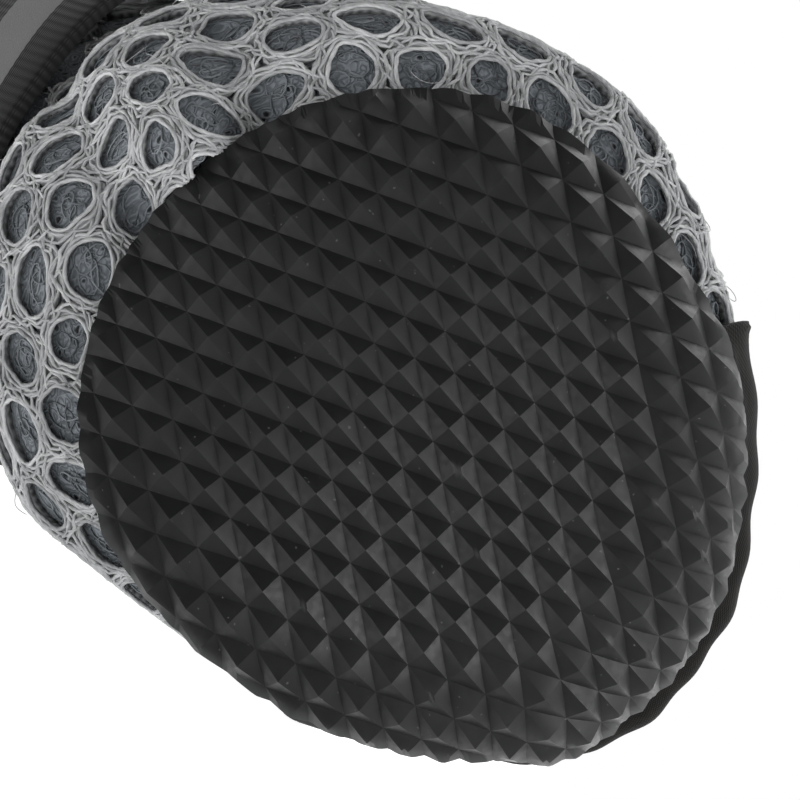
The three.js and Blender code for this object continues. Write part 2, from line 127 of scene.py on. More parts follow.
def turn_matrix():
    """Rotation of the lying boot: the toe dips about the boot's upright, then the boot rolls to its left."""
    roll = LIE["roll"] * DEG
    dip = LIE["toe_dip"] * DEG
    about_x = [[1, 0, 0], [0, math.cos(roll), -math.sin(roll)], [0, math.sin(roll), math.cos(roll)]]
    about_z = [[math.cos(dip), -math.sin(dip), 0], [math.sin(dip), math.cos(dip), 0], [0, 0, 1]]
    return np.array(about_x) @ np.array(about_z)


LYING = turn_matrix()
# The floor's upward normal in the boot's own frame, and the floor's place along it.
FLOOR_NORMAL = LYING.T @ np.array([0, 0, 1])
FLOOR_LEVEL = -SEAT[2]


def place(points):
    """Points of the boot's own frame, in millimetres, laid down in the row frame, in metres."""
    return (points @ LYING.T + SEAT) / 1000


# ------------------------------------------------------------ the sole's sheet


def rim_curl(phi):
    facing = np.cos(phi)
    t = smooth(np.abs(facing))
    (side_width, side_angle) = RIM_CURL["side"]
    (toe_width, toe_angle) = RIM_CURL["toe"]
    (heel_width, heel_angle) = RIM_CURL["heel"]
    width = mix(side_width, np.where(facing > 0, toe_width, heel_width), t)
    angle = mix(side_angle, np.where(facing > 0, toe_angle, heel_angle), t) * DEG
    return width, angle


def swell(phi):
    """Share by which the sole's outline swells: two soft bells over the angle that it faces."""
    total = 1
    for row in SWELLS:
        away = (phi / DEG - row["facing"] + 180) % 360 - 180
        total = total + row["share"] * np.exp(-((away / row["spread"]) ** 2))
    return total


def flat_place(share, phi):
    share = share * swell(phi)
    reach = np.where(np.cos(phi) > 0, SOLE["toe_length"], SOLE["heel_length"])
    return SOLE["widest_x"] + share * reach * np.cos(phi), share * SOLE["half_width"] * np.sin(phi)


def bend(x, height):
    """A flat length x becomes an arc that rises behind heel_from and ahead of toe_from."""
    heel = np.maximum(0, BEND["heel_from"] - x) / BEND["heel_radius"]
    toe = np.maximum(0, x - BEND["toe_from"]) / BEND["toe_radius"]
    heel_radius = BEND["heel_radius"] - height
    toe_radius = BEND["toe_radius"] - height
    bent_x = np.where(toe > 0, BEND["toe_from"] + toe_radius * np.sin(toe), x)
    bent_z = np.where(toe > 0, BEND["toe_radius"] - toe_radius * np.cos(toe), height)
    bent_x = np.where(heel > 0, BEND["heel_from"] - heel_radius * np.sin(heel), bent_x)
    bent_z = np.where(heel > 0, BEND["heel_radius"] - heel_radius * np.cos(heel), bent_z)
    return bent_x, bent_z


def sole_face(x, y):
    """The sole's upper face at a flat place: its rim is rolled on to an arc, then the sheet is bent."""
    ahead = x - SOLE["widest_x"]
    reach = np.where(ahead > 0, SOLE["toe_length"], SOLE["heel_length"])
    phi = np.arctan2(y / SOLE["half_width"], ahead / reach)
    radius = np.hypot(ahead, y)
    share = np.hypot(ahead / reach, y / SOLE["half_width"]) / swell(phi)
    edge = np.where(share > 1e-9, radius / np.maximum(share, 1e-9), reach)
    width, angle = rim_curl(phi)
    rolled = np.maximum(0, radius - (edge - width))
    turned = angle * rolled / width
    out = (edge - width + width / angle * np.sin(turned)) / np.maximum(radius, 1e-9)
    out = np.where(rolled > 0, out, 1)
    rise = width / angle * (1 - np.cos(turned))
    bent_x, bent_z = bend(SOLE["widest_x"] + ahead * out, rise)
    return np.stack([bent_x, y * out, bent_z + SOLE["base"] + STUD["height"]], -1)


def sole_offset(x, y, offset):
    step = 0.05
    along_x = sole_face(x + step, y) - sole_face(x - step, y)
    along_y = sole_face(x, y + step) - sole_face(x, y - step)
    return sole_face(x, y) + along(unit(np.cross(along_x, along_y)), offset)


# ------------------------------------------------------------ the last: the upper's outer surface


def shaft_sections():
    x, z, shift = ANKLE["x"], ANKLE["z"], ANKLE["shift"]
    made = []
    for section in SHAFT_SECTIONS:
        sine, cosine = math.sin(section["lean_back"] * DEG), math.cos(section["lean_back"] * DEG)
        upright = section["rise"] * math.cos(section["lean_left"] * DEG)
        x -= upright * sine
        z += upright * cosine
        shift += section["rise"] * math.sin(section["lean_left"] * DEG)
        half = section["half_length"]
        made.append({
            "back": (x - half * cosine, z - half * sine),
            "front": (x + half * cosine, z + half * sine),
            "widest_at": 0.5,
            "half_width": section["half_width"],
            "pinch": 0,
            "lean": section["lean_left"],
            "shift": shift,
        })
    return made


SECTIONS = FOOT_SECTIONS + shaft_sections()


def section_point(section, phi):
    back, front = section["back"], section["front"]
    along_x, along_z = front[0] - back[0], front[1] - back[1]
    length = math.hypot(along_x, along_z)
    widest = section["widest_at"]
    share = widest + np.where(np.cos(phi) > 0, 1 - widest, widest) * np.cos(phi)
    side = section["half_width"] * np.sin(phi) * (1 - section["pinch"] * smooth(np.cos(phi)))
    lean = section["lean"] * DEG
    sink = side * math.sin(lean) / length
    x = back[0] + along_x * share + along_z * sink
    z = back[1] + along_z * share - along_x * sink
    return np.stack([x, section["shift"] + side * math.cos(lean), z], -1)


def last_surface(v, phi):
    """A Catmull-Rom surface through the sole's two rows and the sections: v counts rows, phi goes round."""
    v, phi = np.broadcast_arrays(np.asarray(v, float), np.asarray(phi, float))
    rows = [sole_offset(*flat_place(share, phi), np.full(phi.shape, GAP)) for share in (LASTING_SHARE, 1)]
    rows = np.stack(rows + [section_point(section, phi) for section in SECTIONS])
    row = np.clip(np.floor(v).astype(int), 0, ROW["collar"] - 1)
    t = (v - row)[..., None]
    index = np.indices(v.shape)
    a, b, c, d = [rows[(np.clip(row + k, 0, ROW["collar"]), *index)] for k in (-1, 0, 1, 2)]
    cubic = -a + 3 * b - 3 * c + d
    square = 2 * a - 5 * b + 4 * c - d
    points = 0.5 * (2 * b + (c - a) * t + square * t ** 2 + cubic * t ** 3)
    low = v <= ROW["rim"]
    if low.any():
        x, y = flat_place(mix(LASTING_SHARE, 1, v[low]), phi[low])
        points[low] = sole_offset(x, y, np.full(x.shape, GAP))
    return points


def cover_at(v, x):
    fade = 0.3
    strap = smooth((v - ROW["ankle"]) / fade + 1) * smooth((ROW["strap_top"] - v) / fade + 1)
    binding = smooth((v - BINDING_LOW) / fade + 1)
    cap = smooth((v - ROW["rim"]) / 0.1 + 0.5) * smooth((x - TOE_CAP["side_x"]) / 2 + 2.6)
    over = [strap * (GAP + STRAP["thickness"]), binding * (GAP + BINDING["thickness"])]
    return np.maximum(np.maximum(*over), cap * (GAP + TOE_CAP["thickness"]))


def press(points, cover):
    """Points moved up off the floor, softly, so that they keep the cover's thickness above it."""
    height = points @ FLOOR_NORMAL - FLOOR_LEVEL - cover
    soft = LIE["softness"]
    lifted = np.maximum(0, height + soft) ** 2 / (4 * soft)
    return points + along(FLOOR_NORMAL, np.where(height < soft, lifted - height, 0))


# Soft troughs and ridges of the mesh, each along a line from one place to another. A place is an angle
# round the boot in degrees and a row; width and height are millimetres, and a trough's height is below 0.
CREASES = [
    # the lobe at the heel, the trough on each side of it
    {"from": (182, 1.3), "to": (187, 3.4), "width": 4.2, "height": 0.8},
    {"from": (167, 1.0), "to": (175, 4.4), "width": 2.1, "height": -1.2},
    {"from": (194, 1.1), "to": (199, 2.8), "width": 1.6, "height": -1.0},
    # the mesh swells just behind the toe cap on the right
    {"from": (270, 1.9), "to": (294, 2.0), "width": 4.0, "height": 0.7},
    # the mesh sinks under the strap's lower edge at the heel
    {"from": (148, 4.75), "to": (196, 4.75), "width": 2.4, "height": -1.3},
    # the cap swells a little beside the toe, and is drawn in further back on the left
    {"from": (10, 1.8), "to": (26, 1.8), "width": 3.5, "height": 0.2},
    {"from": (42, 1.6), "to": (58, 1.6), "width": 5.0, "height": -1.1},
]
# The slack mesh at the heel rolls over the sole's edge between these angles. Each row of the roll moves
# it forward and down by so many millimetres.
ROLL = {"middle": 180, "half": 2, "soft": 12}
ROLL_ROWS = [
    {"row": 1.0, "forward": 0, "down": 0},
    {"row": 1.16, "forward": 0.3, "down": 1.6},
    {"row": 1.38, "forward": 1.7, "down": 2.8},
    {"row": 1.66, "forward": 1.5, "down": 2.7},
    {"row": 2.1, "forward": 0.7, "down": 1.8},
    {"row": 2.7, "forward": 0.2, "down": 0.7},
    {"row": 3.4, "forward": 0, "down": 0},
]


def crease_height(v, phi):
    """Sum of soft ridges: each one's height falls off as a bell curve with the distance from its line."""
    y = v * ROW_HEIGHT
    total = np.zeros(np.broadcast(v, phi).shape)
    for crease in CREASES:
        (a_facing, a_row), (b_facing, b_row) = crease["from"], crease["to"]
        x = ((phi / DEG - a_facing + 180) % 360 - 180) * DEG * ROUND
        start = a_row * ROW_HEIGHT
        dx, dy = (b_facing - a_facing) * DEG * ROUND, (b_row - a_row) * ROW_HEIGHT
        t = np.clip((x * dx + (y - start) * dy) / (dx * dx + dy * dy), 0, 1)
        distance = np.hypot(x - t * dx, y - start - t * dy)
        total = total + crease["height"] * np.exp(-((distance / crease["width"]) ** 2))
    return total


def heel_roll(v, phi):
    """Shift of the heel's roll: a smooth cubic through the table's rows, faded out at its two ends."""
    turned = np.abs((phi / DEG - ROLL["middle"] + 180) % 360 - 180)
    share = smooth((ROLL["half"] + ROLL["soft"] - turned) / ROLL["soft"])
    rows = np.array([row["row"] for row in ROLL_ROWS])
    table = np.array([[row["forward"], row["down"]] for row in ROLL_ROWS])
    k = np.clip(np.searchsorted(rows, v, side="right") - 1, 0, len(rows) - 2)
    t = np.clip((v - rows[k]) / (rows[k + 1] - rows[k]), 0, 1)[..., None]
    slopes = np.gradient(table, rows, axis=0)
    span = (rows[k + 1] - rows[k])[..., None]
    start, end = table[k], table[k + 1]
    lift = (2 * t ** 3 - 3 * t ** 2 + 1) * start + (3 * t ** 2 - 2 * t ** 3) * end
    lift = lift + span * ((t ** 3 - 2 * t ** 2 + t) * slopes[k] + (t ** 3 - t ** 2) * slopes[k + 1])
    lift = lift * np.where(v > rows[-1], 0, share)[..., None]
    return np.stack([lift[..., 0], np.zeros(share.shape), -lift[..., 1]], -1)


def plain_surface(v, phi):
    points = last_surface(v, phi)
    return press(points, cover_at(v, points[..., 0]))


def surface_normal(surface, v, phi):
    step = 0.02
    up = surface(np.minimum(ROW["collar"], v + step), phi) - surface(np.maximum(0, v - step), phi)
    around = surface(v, phi + step) - surface(v, phi - step)
    return unit(np.cross(around, up))


def draped_surface(v, phi):
    """The last's surface with the creases and the heel's roll, pressed on to the floor."""
    v, phi = np.broadcast_arrays(np.asarray(v, float), np.asarray(phi, float))
    points = last_surface(v, phi)
    cover = cover_at(v, points[..., 0])
    raised = along(surface_normal(last_surface, v, phi), crease_height(v, phi))
    return press(points + raised + heel_roll(v, phi), cover)


def on_surface(surface, v, phi, offset):
    return surface(v, phi) + along(surface_normal(surface, v, phi), offset)


def plain(v, phi, offset):
    return on_surface(plain_surface, *np.broadcast_arrays(v, phi, offset))


def draped(v, phi, offset):
    return on_surface(draped_surface, *np.broadcast_arrays(v, phi, offset))


# ------------------------------------------------------------ meshes


def mesh_object(name, points, faces, finish, attributes=None):
    """A mesh in the row frame from points of the boot's frame. faces is a list of arrays of corners."""
    mesh = bpy.data.meshes.new(name)
    points = np.asarray(points, float).reshape(-1, 3)
    mesh.vertices.add(len(points))
    mesh.vertices.foreach_set("co", place(points).astype(np.float32).ravel())
    faces = [np.asarray(part, int) for part in faces if len(part)]
    corners = np.concatenate([part.ravel() for part in faces])
    totals = np.concatenate([np.full(len(part), part.shape[1]) for part in faces])
    starts = np.concatenate([[0], np.cumsum(totals)[:-1]])
    mesh.loops.add(len(corners))
    mesh.loops.foreach_set("vertex_index", corners.astype(np.int32))
    mesh.polygons.add(len(totals))
    mesh.polygons.foreach_set("loop_start", starts.astype(np.int32))
    mesh.polygons.foreach_set("use_smooth", np.ones(len(totals), bool))
    mesh.update(calc_edges=True)
    for key, values in (attributes or {}).items():
        values = np.asarray(values, np.float32)
        if values.ndim == 1:
            layer = mesh.attributes.new(key, "FLOAT", "POINT")
            layer.data.foreach_set("value", values)
        else:
            layer = mesh.attributes.new(key, "FLOAT_VECTOR", "POINT")
            layer.data.foreach_set("vector", values.ravel())
    mesh.materials.append(finish)
    piece = bpy.data.objects.new(name, mesh)
    bpy.context.scene.collection.objects.link(piece)
    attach(piece, "root")
    return piece


def grid_faces(rows, columns, closed_rows=False, closed_columns=False, flip=False):
    """Quads of a grid of points stored row by row."""
    i = np.arange(rows if closed_rows else rows - 1)
    j = np.arange(columns if closed_columns else columns - 1)
    i, j = [k.ravel() for k in np.meshgrid(i, j, indexing="ij")]
    down, right = (i + 1) % rows, (j + 1) % columns
    quads = np.stack([i * columns + j, i * columns + right, down * columns + right, down * columns + j], -1)
    return quads[:, ::-1] if flip else quads


def loop_ends(loops, count, flip=False):
    """The two faces that close the first and the last of a row of loops."""
    first = np.arange(count)[None]
    last = first + (loops - 1) * count
    return [first, last[:, ::-1]] if flip else [first[:, ::-1], last]


def many_grids(count, rows, columns, **closed):
    """The quads of many equal grids whose points follow one another."""
    quads = grid_faces(rows, columns, **closed)
    steps = np.arange(count)[:, None, None] * rows * columns
    return (quads[None] + steps).reshape(-1, 4)


# ------------------------------------------------------------ the outsole


def stud_height(x, y):
    """A pyramid on each diamond cell: 1 less the larger of the distances to the cell's middle, along its
    two pairs of sides, with the larger one taken by a high power mean so that the ridges are rounded."""
    u = (x - STUD["phase_x"]) / (STUD["length"] / 2)
    w = (y - STUD["phase_y"]) / (STUD["width"] / 2)
    p, q = u + w, u - w
    cell_p, cell_q = np.floor(p / 2), np.floor(q / 2)
    p, q = np.abs(p - 2 * cell_p - 1), np.abs(q - 2 * cell_q - 1)
    power = 16
    height = 1 - (p ** power + q ** power) ** (1 / power)
    # A few tips towards the toe are worn flat.
    chance = np.modf(np.abs(np.sin(cell_p * 12.9898 + cell_q * 78.233) * 43758.5453))[0]
    worn = (chance < 0.16 * smooth((x + 4) / 16)) & (height > 0)
    limit = np.where(worn, 0.82 + 0.6 * chance, 1)
    return np.clip(np.minimum(height, limit), 0, 1), worn & (height > limit)


def sole_triangles():
    """The flat sheet's triangles, on a grid whose lines follow the studs' ridges and whose diagonals follow
    the valleys. Cells inside the outline are kept, and the outer points are pulled out to the outline.
    Gives the points, their share of the way to the outline, the triangles and the rim's edges."""
    n = 6
    step_x, step_y = STUD["length"] / 2 / n, STUD["width"] / 2 / n
    span_x = int(SOLE["toe_length"] / step_x) + 2 * n
    span_y = int(SOLE["half_width"] / step_y) + 2 * n
    k, m = np.meshgrid(np.arange(-span_x, span_x + 1), np.arange(-span_y, span_y + 1), indexing="ij")
    x, y = STUD["phase_x"] + k * step_x, STUD["phase_y"] + m * step_y
    ahead = x - SOLE["widest_x"]
    reach = np.where(ahead > 0, SOLE["toe_length"], SOLE["heel_length"])
    share = np.hypot(ahead / reach, y / SOLE["half_width"])
    share = share / swell(np.arctan2(y / SOLE["half_width"], ahead / reach))
    inside = share < 0.996
    keep = inside[:-1, :-1] & inside[1:, :-1] & inside[1:, 1:] & inside[:-1, 1:]
    ids = np.arange(x.size).reshape(x.shape)
    a, b, c, d = [part[keep] for part in (ids[:-1, :-1], ids[1:, :-1], ids[1:, 1:], ids[:-1, 1:])]
    valley = ((k[:-1, :-1] + m[:-1, :-1] + 1) % (2 * n) == 0)[keep]
    first = np.where(valley[:, None], np.stack([a, b, d], -1), np.stack([a, b, c], -1))
    second = np.where(valley[:, None], np.stack([b, c, d], -1), np.stack([a, c, d], -1))
    used, upward = np.unique(np.concatenate([first, second]), return_inverse=True)
    upward = upward.reshape(-1, 3)
    x, y, share = x.ravel()[used], y.ravel()[used], share.ravel()[used]
    # A rim edge is one that no other triangle runs along the other way.
    starts, ends = upward.ravel(), np.roll(upward, -1, 1).ravel()
    rim = ~np.isin(starts * len(used) + ends, ends * len(used) + starts)
    rim_start, rim_end = starts[rim], ends[rim]
    pull = np.ones(len(used))
    pull[rim_start] = 1 / share[rim_start]
    x, y = SOLE["widest_x"] + (x - SOLE["widest_x"]) * pull, y * pull
    return x, y, share * pull, upward, rim_start, rim_end


def outsole(finish):
    """The studded lower face, and a wall of rings that joins it to the same triangles on the upper face."""
    x, y, share, upward, rim_start, rim_end = sole_triangles()
    count = len(x)
    height, worn = stud_height(x, y)
    height = height * (1 - 0.35 * smooth((share - 0.93) / 0.07))
    low = -(SOLE["base"] + STUD["height"] * height)
    layers = 4
    edge = np.unique(rim_start)
    slot_of = np.full(count, -1)
    slot_of[edge] = np.arange(len(edge))
    flat = [np.stack([x, y, low], -1), np.stack([x, y, np.zeros(count)], -1)]
    for layer in range(1, layers):
        t = layer / layers
        bulge = 1 + 0.006 * math.sin(math.pi * t)
        wall_x = SOLE["widest_x"] + (x[edge] - SOLE["widest_x"]) * bulge
        flat.append(np.stack([wall_x, y[edge] * bulge, low[edge] * (1 - t)], -1))
    flat = np.concatenate(flat)
    rings = [(rim_start, rim_end)]
    for layer in range(layers - 1):
        first = 2 * count + layer * len(edge)
        rings.append((first + slot_of[rim_start], first + slot_of[rim_end]))
    rings.append((count + rim_start, count + rim_end))
    walls = []
    for (low_start, low_end), (high_start, high_end) in zip(rings[:-1], rings[1:]):
        walls.append(np.stack([low_start, low_end, high_end, high_start], -1))
    faces = [upward[:, ::-1], upward + count, np.concatenate(walls)]
    tips = np.zeros(len(flat))
    tips[:count] = height
    # Worn tips are paler, and the rim towards the toe and on the left is painted paler as a sheen.
    facing = np.arctan2(y, x - SOLE["widest_x"]) / DEG
    rim_sheen_side = smooth((facing + 80) / 40) * smooth((125 - facing) / 30)
    wear_and_rim_sheen = np.zeros(len(flat))
    wear_and_rim_sheen[:count] = np.maximum(worn * 0.3, 0.55 * rim_sheen_side * smooth((share - 0.955) / 0.045))
    piece = mesh_object(
        "outsole_rubber",
        sole_offset(flat[:, 0], flat[:, 1], flat[:, 2]),
        faces,
        finish,
        {"flat": flat, "tip": tips, "wear_and_rim_sheen": wear_and_rim_sheen},
    )
    piece.data.set_sharp_from_angle(angle=22 * DEG)
    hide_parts("outsole")
    return piece


# ------------------------------------------------------------ the spacer mesh

# The mesh's holes stand in a hexagonal lattice: so many columns round the boot, a row pitch up it.
MESH = {"columns": 31, "first_row": -1.6, "row_pitch": 4.42, "hole": 1.9, "shift": -0.27, "depth": 0.95}
PITCH = 5.1
STRAND = 0.15
# How far below the sole's edge the tables of the fabric start.
BELOW_EDGE = 5
# The mesh of the heel's lobe is drawn together sideways: its middle in columns, the rest in millimetres.
GATHER = {"middle": 15.77, "width": 9, "top": 14, "share": 0.24}


def length_along(points):
    return np.concatenate([[0], np.cumsum(np.linalg.norm(np.diff(points, axis=0), axis=1))])


def arc_tables():
    """Angle round the boot by distance along a ring, and row by distance up each meridian. Slack mesh at
    the heel is taken up below the roll, so that the rows of holes above it stay level."""
    phi = np.linspace(0, TURN, 721)
    ring = last_surface(np.full(phi.shape, 2.5), phi)
    distance = length_along(ring)
    v = np.linspace(0.8, ROW["collar"], 361)
    steps = 0.2
    lengths = np.arange(0, 110, steps) - BELOW_EDGE
    rows = np.zeros((181, len(lengths)))
    turned = np.linspace(0, TURN, 181)
    anchor = ROLL_ROWS[-1]["row"]
    for k, angle in enumerate(turned):
        line = last_surface(v, np.full(v.shape, angle))
        rolled = line + heel_roll(v, np.full(v.shape, angle))
        reach, slack = length_along(line), length_along(rolled)
        slack += np.interp(anchor, v, reach) - np.interp(ROW["rim"], v, reach) - np.interp(anchor, v, slack)
        rows[k] = np.interp(lengths, slack, v)
    return distance / distance[-1], phi, rows, steps


RING_SHARE, RING_PHI, ROWS_UP, ROW_STEP = arc_tables()


def fabric_place(x, y):
    """Angle and row of a place in the flat fabric: x columns' pitches round it, y millimetres up from the
    sole's edge. The fabric is pulled about a little, by two slow waves each way."""
    whole = MESH["columns"] * PITCH
    turned = TURN * x / whole
    pulled_x = x + 0.2 * np.sin(15 * turned + 0.37 * y + 1.0) + 0.16 * np.sin(6 * turned - 0.71 * y)
    off = (x - GATHER["middle"] * PITCH + whole / 2) % whole - whole / 2
    fade = smooth((GATHER["top"] - y) / 5)
    pulled_x = pulled_x - GATHER["share"] * off * np.exp(-((off / GATHER["width"]) ** 2)) * fade
    pulled_y = y + 0.26 * np.sin(12 * turned - 0.3 * y + 2.0) + 0.16 * np.sin(23 * turned + 0.5 * y)
    share = (pulled_x / PITCH + MESH["shift"]) / MESH["columns"]
    turns = np.floor(share)
    phi = np.interp(share - turns, RING_SHARE, RING_PHI) + turns * TURN
    across = (phi % TURN) / TURN * (ROWS_UP.shape[0] - 1)
    up = np.clip((pulled_y + BELOW_EDGE) / ROW_STEP, 0, ROWS_UP.shape[1] - 1.001)
    i, j = np.minimum(across.astype(int), ROWS_UP.shape[0] - 2), up.astype(int)
    s, t = across - i, up - j
    low = mix(ROWS_UP[i, j], ROWS_UP[i, j + 1], t)
    high = mix(ROWS_UP[i + 1, j], ROWS_UP[i + 1, j + 1], t)
    return phi, mix(low, high, s)


def on_fabric(x, y, height):
    phi, v = fabric_place(x, y)
    shape = phi.shape
    return draped(v.ravel(), phi.ravel(), np.broadcast_to(height, shape).ravel()).reshape(*shape, 3)


def rear_edge_x(z):
    """Where the toe cap's rear edge stands at a height: a curve from its side to its top."""
    nose = last_surface(1.0, 0.0)[2]
    t = np.linspace(0, 1, 60)
    top = np.array([TOE_CAP["top_x"], TOE_CAP["top_z"]])
    bend_at = np.array([TOE_CAP["top_x"], mix(nose, TOE_CAP["top_z"], 0.4)])
    side = np.array([TOE_CAP["side_x"], nose - 1])
    line = np.outer((1 - t) ** 2, side) + np.outer(2 * t * (1 - t), bend_at) + np.outer(t ** 2, top)
    return np.interp(z, line[:, 1], line[:, 0])


def strap_pull(angle):
    """Rows by which the strap is pulled down at an angle in degrees, most of all at the heel's left."""
    nearness = np.maximum(0, np.cos((angle - STRAP_PULL["at"]) * DEG))
    return -STRAP_PULL["everywhere"] - STRAP_PULL["most"] * nearness


def mesh_cells():
    """Middles of the holes in the fabric, without those that the toe cap, strap or binding hide."""
    middles = []
    for row in range(-2, 20):
        for column in range(MESH["columns"]):
            x = (column + 0.5 * (row % 2)) * PITCH
            middles.append((x, MESH["first_row"] + row * MESH["row_pitch"]))
    middles = np.array(middles)
    ring = np.linspace(0, TURN, 7)[:-1]
    x = middles[:, :1] + 2.9 * np.cos(ring)
    y = middles[:, 1:] + 2.9 * np.sin(ring)
    phi, v = fabric_place(x, y)
    points = last_surface(v.ravel(), phi.ravel()).reshape(*v.shape, 3)
    under_cap = (points[..., 0] > rear_edge_x(points[..., 2]) + 1.2).all(1) & (v.max(1) < 5)
    pulled = strap_pull(phi / DEG)
    under_strap = ((v > 5.07 + pulled) & (v < 5.88 + pulled)).all(1)
    under_binding = (v > BINDING_LOW + 0.05).all(1)
    under_sole = (v < 0.97).all(1)
    return middles[~(under_cap | under_strap | under_binding | under_sole)]


def cell_edge(theta):
    """Distance from a hole's middle to the edge of its six-sided cell."""
    sixth = TURN / 6
    return PITCH / 2 / np.cos((theta + sixth / 2) % sixth - sixth / 2)


def hole_shapes(count, rng):
    """Size, stretch and two directions of each hole, which is an egg-shaped ring."""
    return {
        "size": MESH["hole"] + rng.uniform(-0.16, 0.14, count),
        "stretch": rng.uniform(0.02, 0.12, count),
        "facing": rng.uniform(0, TURN, count),
        "dent": rng.uniform(0, TURN, count),
    }


def hole_radius(shapes, theta):
    size, stretch, facing, dent = [shapes[key][:, None] for key in ("size", "stretch", "facing", "dent")]
    return size * (1 + stretch * np.cos(2 * theta - facing)) + 0.06 * np.sin(3 * theta + dent)


def split_pieces(name, count, triangles_each, limit=190000):
    """Names and ranges of the pieces that keep each mesh under the limit."""
    parts = max(1, math.ceil(count * triangles_each / limit))
    bounds = np.linspace(0, count, parts + 1).astype(int)
    return [(f"{name}_{k + 1}", bounds[k], bounds[k + 1]) for k in range(parts)]


def mesh_web(cells, shapes, finish):
    """One closed ring for each hole: a six-point section, from the hole to the cell's edge and as deep as
    the spacer, carried round the hole. Its outer edge draws in at the cell's corners and twice along
    each side, which leaves small eyelets between neighbouring rings."""
    steps = 26
    theta = np.linspace(0, TURN, steps, endpoint=False)[None, None]
    count = len(cells)
    hole = hole_radius(shapes, theta[0])[:, None]
    edge = np.minimum(cell_edge(theta), 2.76)
    slits = np.maximum(0, np.cos(12 * theta + TURN / 2)) ** 1.5
    edge = edge - 0.2 * slits
    section = [
        ("hole", 0.08, -0.34), ("middle", 0.0, -0.2), ("edge", 0.0, -0.34),
        ("edge", 0.03, -MESH["depth"]), ("hole", 0.5, -MESH["depth"]), ("hole", 0.16, -0.62),
    ]
    radii, heights = [], []
    for kind, extra, height in section:
        radius = {"hole": hole, "middle": (hole + edge) / 2, "edge": edge + 0 * hole}[kind] + extra
        radii.append(np.broadcast_to(radius, (count, 1, steps))[:, 0])
        heights.append(np.full((count, steps), height))
    radius, height = np.stack(radii, 1), np.stack(heights, 1)
    x = cells[:, :1, None] + radius * np.cos(theta)
    y = cells[:, 1:, None] + radius * np.sin(theta)
    points = on_fabric(x, y, height)
    turned = np.broadcast_to(theta, radius.shape)
    where = np.stack([turned * 2.2, radius, height], -1)
    made = []
    for name, low, high in split_pieces("mesh_web", count, 2 * len(section) * steps):
        faces = many_grids(high - low, len(section), steps, closed_rows=True, closed_columns=True, flip=True)
        made.append(mesh_object(name, points[low:high], [faces], finish,
                                {"where": where[low:high].reshape(-1, 3),
                                 "deep": (-height[low:high]).ravel()}))
    return made


def tubes(name, paths, normals, radius, sides, finish, closed, shade):
    """Round strands: at each point of a path, a ring of points round it in the plane across the path.
    An open strand is closed by narrowing its first and last rings to points."""
    count, steps = paths.shape[:2]
    if closed:
        tangent = np.roll(paths, -1, 1) - np.roll(paths, 1, 1)
    else:
        tangent = np.gradient(paths, axis=1)
    tangent = unit(tangent)
    across = unit(np.cross(tangent, normals))
    upright = np.cross(across, tangent)
    psi = np.linspace(0, TURN, sides, endpoint=False)
    thick = np.broadcast_to(np.asarray(radius, float), (count, steps)).copy()
    if not closed:
        thick[:, 0] *= 0.02
        thick[:, -1] *= 0.02
    ring = across[:, :, None] * np.cos(psi)[:, None] + upright[:, :, None] * np.sin(psi)[:, None]
    points = paths[:, :, None] + thick[:, :, None, None] * ring
    length = np.cumsum(np.linalg.norm(np.diff(paths, axis=1, prepend=paths[:, :1]), axis=-1), 1)
    thread = np.stack(np.broadcast_arrays(length[:, :, None], psi[None, None], shade[:, None, None]), -1)
    each = steps * sides * 2
    made = []
    for part, low, high in split_pieces(name, count, each):
        faces = many_grids(high - low, steps, sides, closed_rows=closed, closed_columns=True, flip=True)
        pieces = [faces]
        if not closed:
            first = np.arange(sides)[None, :] + np.arange(high - low)[:, None] * steps * sides
            pieces += [first, (first + (steps - 1) * sides)[:, ::-1]]
        made.append(mesh_object(part, points[low:high], pieces, finish,
                                {"thread": thread[low:high].reshape(-1, 3)}))
    return made


def fabric_tubes(name, x, y, height, radius, sides, finish, closed, shade):
    """Strands that follow lines of places in the fabric, at heights above it, and stay off the floor."""
    paths = on_fabric(x, y, height)
    normals = unit(on_fabric(x, y, height + 0.3) - paths)
    paths = press(paths, 0.15)
    return tubes(name, paths, normals, radius, sides, finish, closed, shade)


# Strands round each hole: the share of the land from the hole's rim to the cell's edge, how far the
# strand wanders and in how many waves, how far it rises and sinks, and its thickness as a share.
STRAND_LOOPS = [
    {"name": "a", "share": 0.04, "wander": 0.05, "waves": 5, "rise": 0.04, "thickness": 1.15},
    {"name": "b", "share": 0.42, "wander": 0.12, "waves": 7, "rise": 0.07, "thickness": 0.95},
    {"name": "c", "share": 0.84, "wander": 0.2, "waves": 6, "rise": 0.1, "thickness": 1.0},
]


def mesh_strands(cells, shapes, finish, rng):
    """Three strands round each hole. The first follows its rim. The others wander about the land and over
    the cell's edge, rising and sinking, so that they cross the neighbours' strands."""
    steps = 31
    theta = np.linspace(0, TURN, steps, endpoint=False)[None]
    count = len(cells)
    for loop in STRAND_LOOPS:
        hole = hole_radius(shapes, theta)
        phase = rng.uniform(0, TURN, (count, 3))
        number = (loop["waves"] + rng.integers(-1, 2, count))[:, None]
        shape = mix(hole, np.minimum(cell_edge(theta), 2.8), loop["share"])
        shape = shape + loop["wander"] * np.sin(number * theta + phase[:, :1])
        shape = shape + 0.5 * loop["wander"] * np.sin((number + 4) * theta + phase[:, 1:2])
        height = -STRAND + loop["rise"] * np.sin(number * theta + phase[:, 2:3])
        x = cells[:, :1] + shape * np.cos(theta)
        y = cells[:, 1:] + shape * np.sin(theta)
        thick = STRAND * loop["thickness"] * (1 + 0.18 * np.sin(9 * theta + phase[:, :1]))
        name = "mesh_strand_" + loop["name"]
        fabric_tubes(name, x, y, height, thick, 4, finish, True, rng.uniform(0, 1, count))


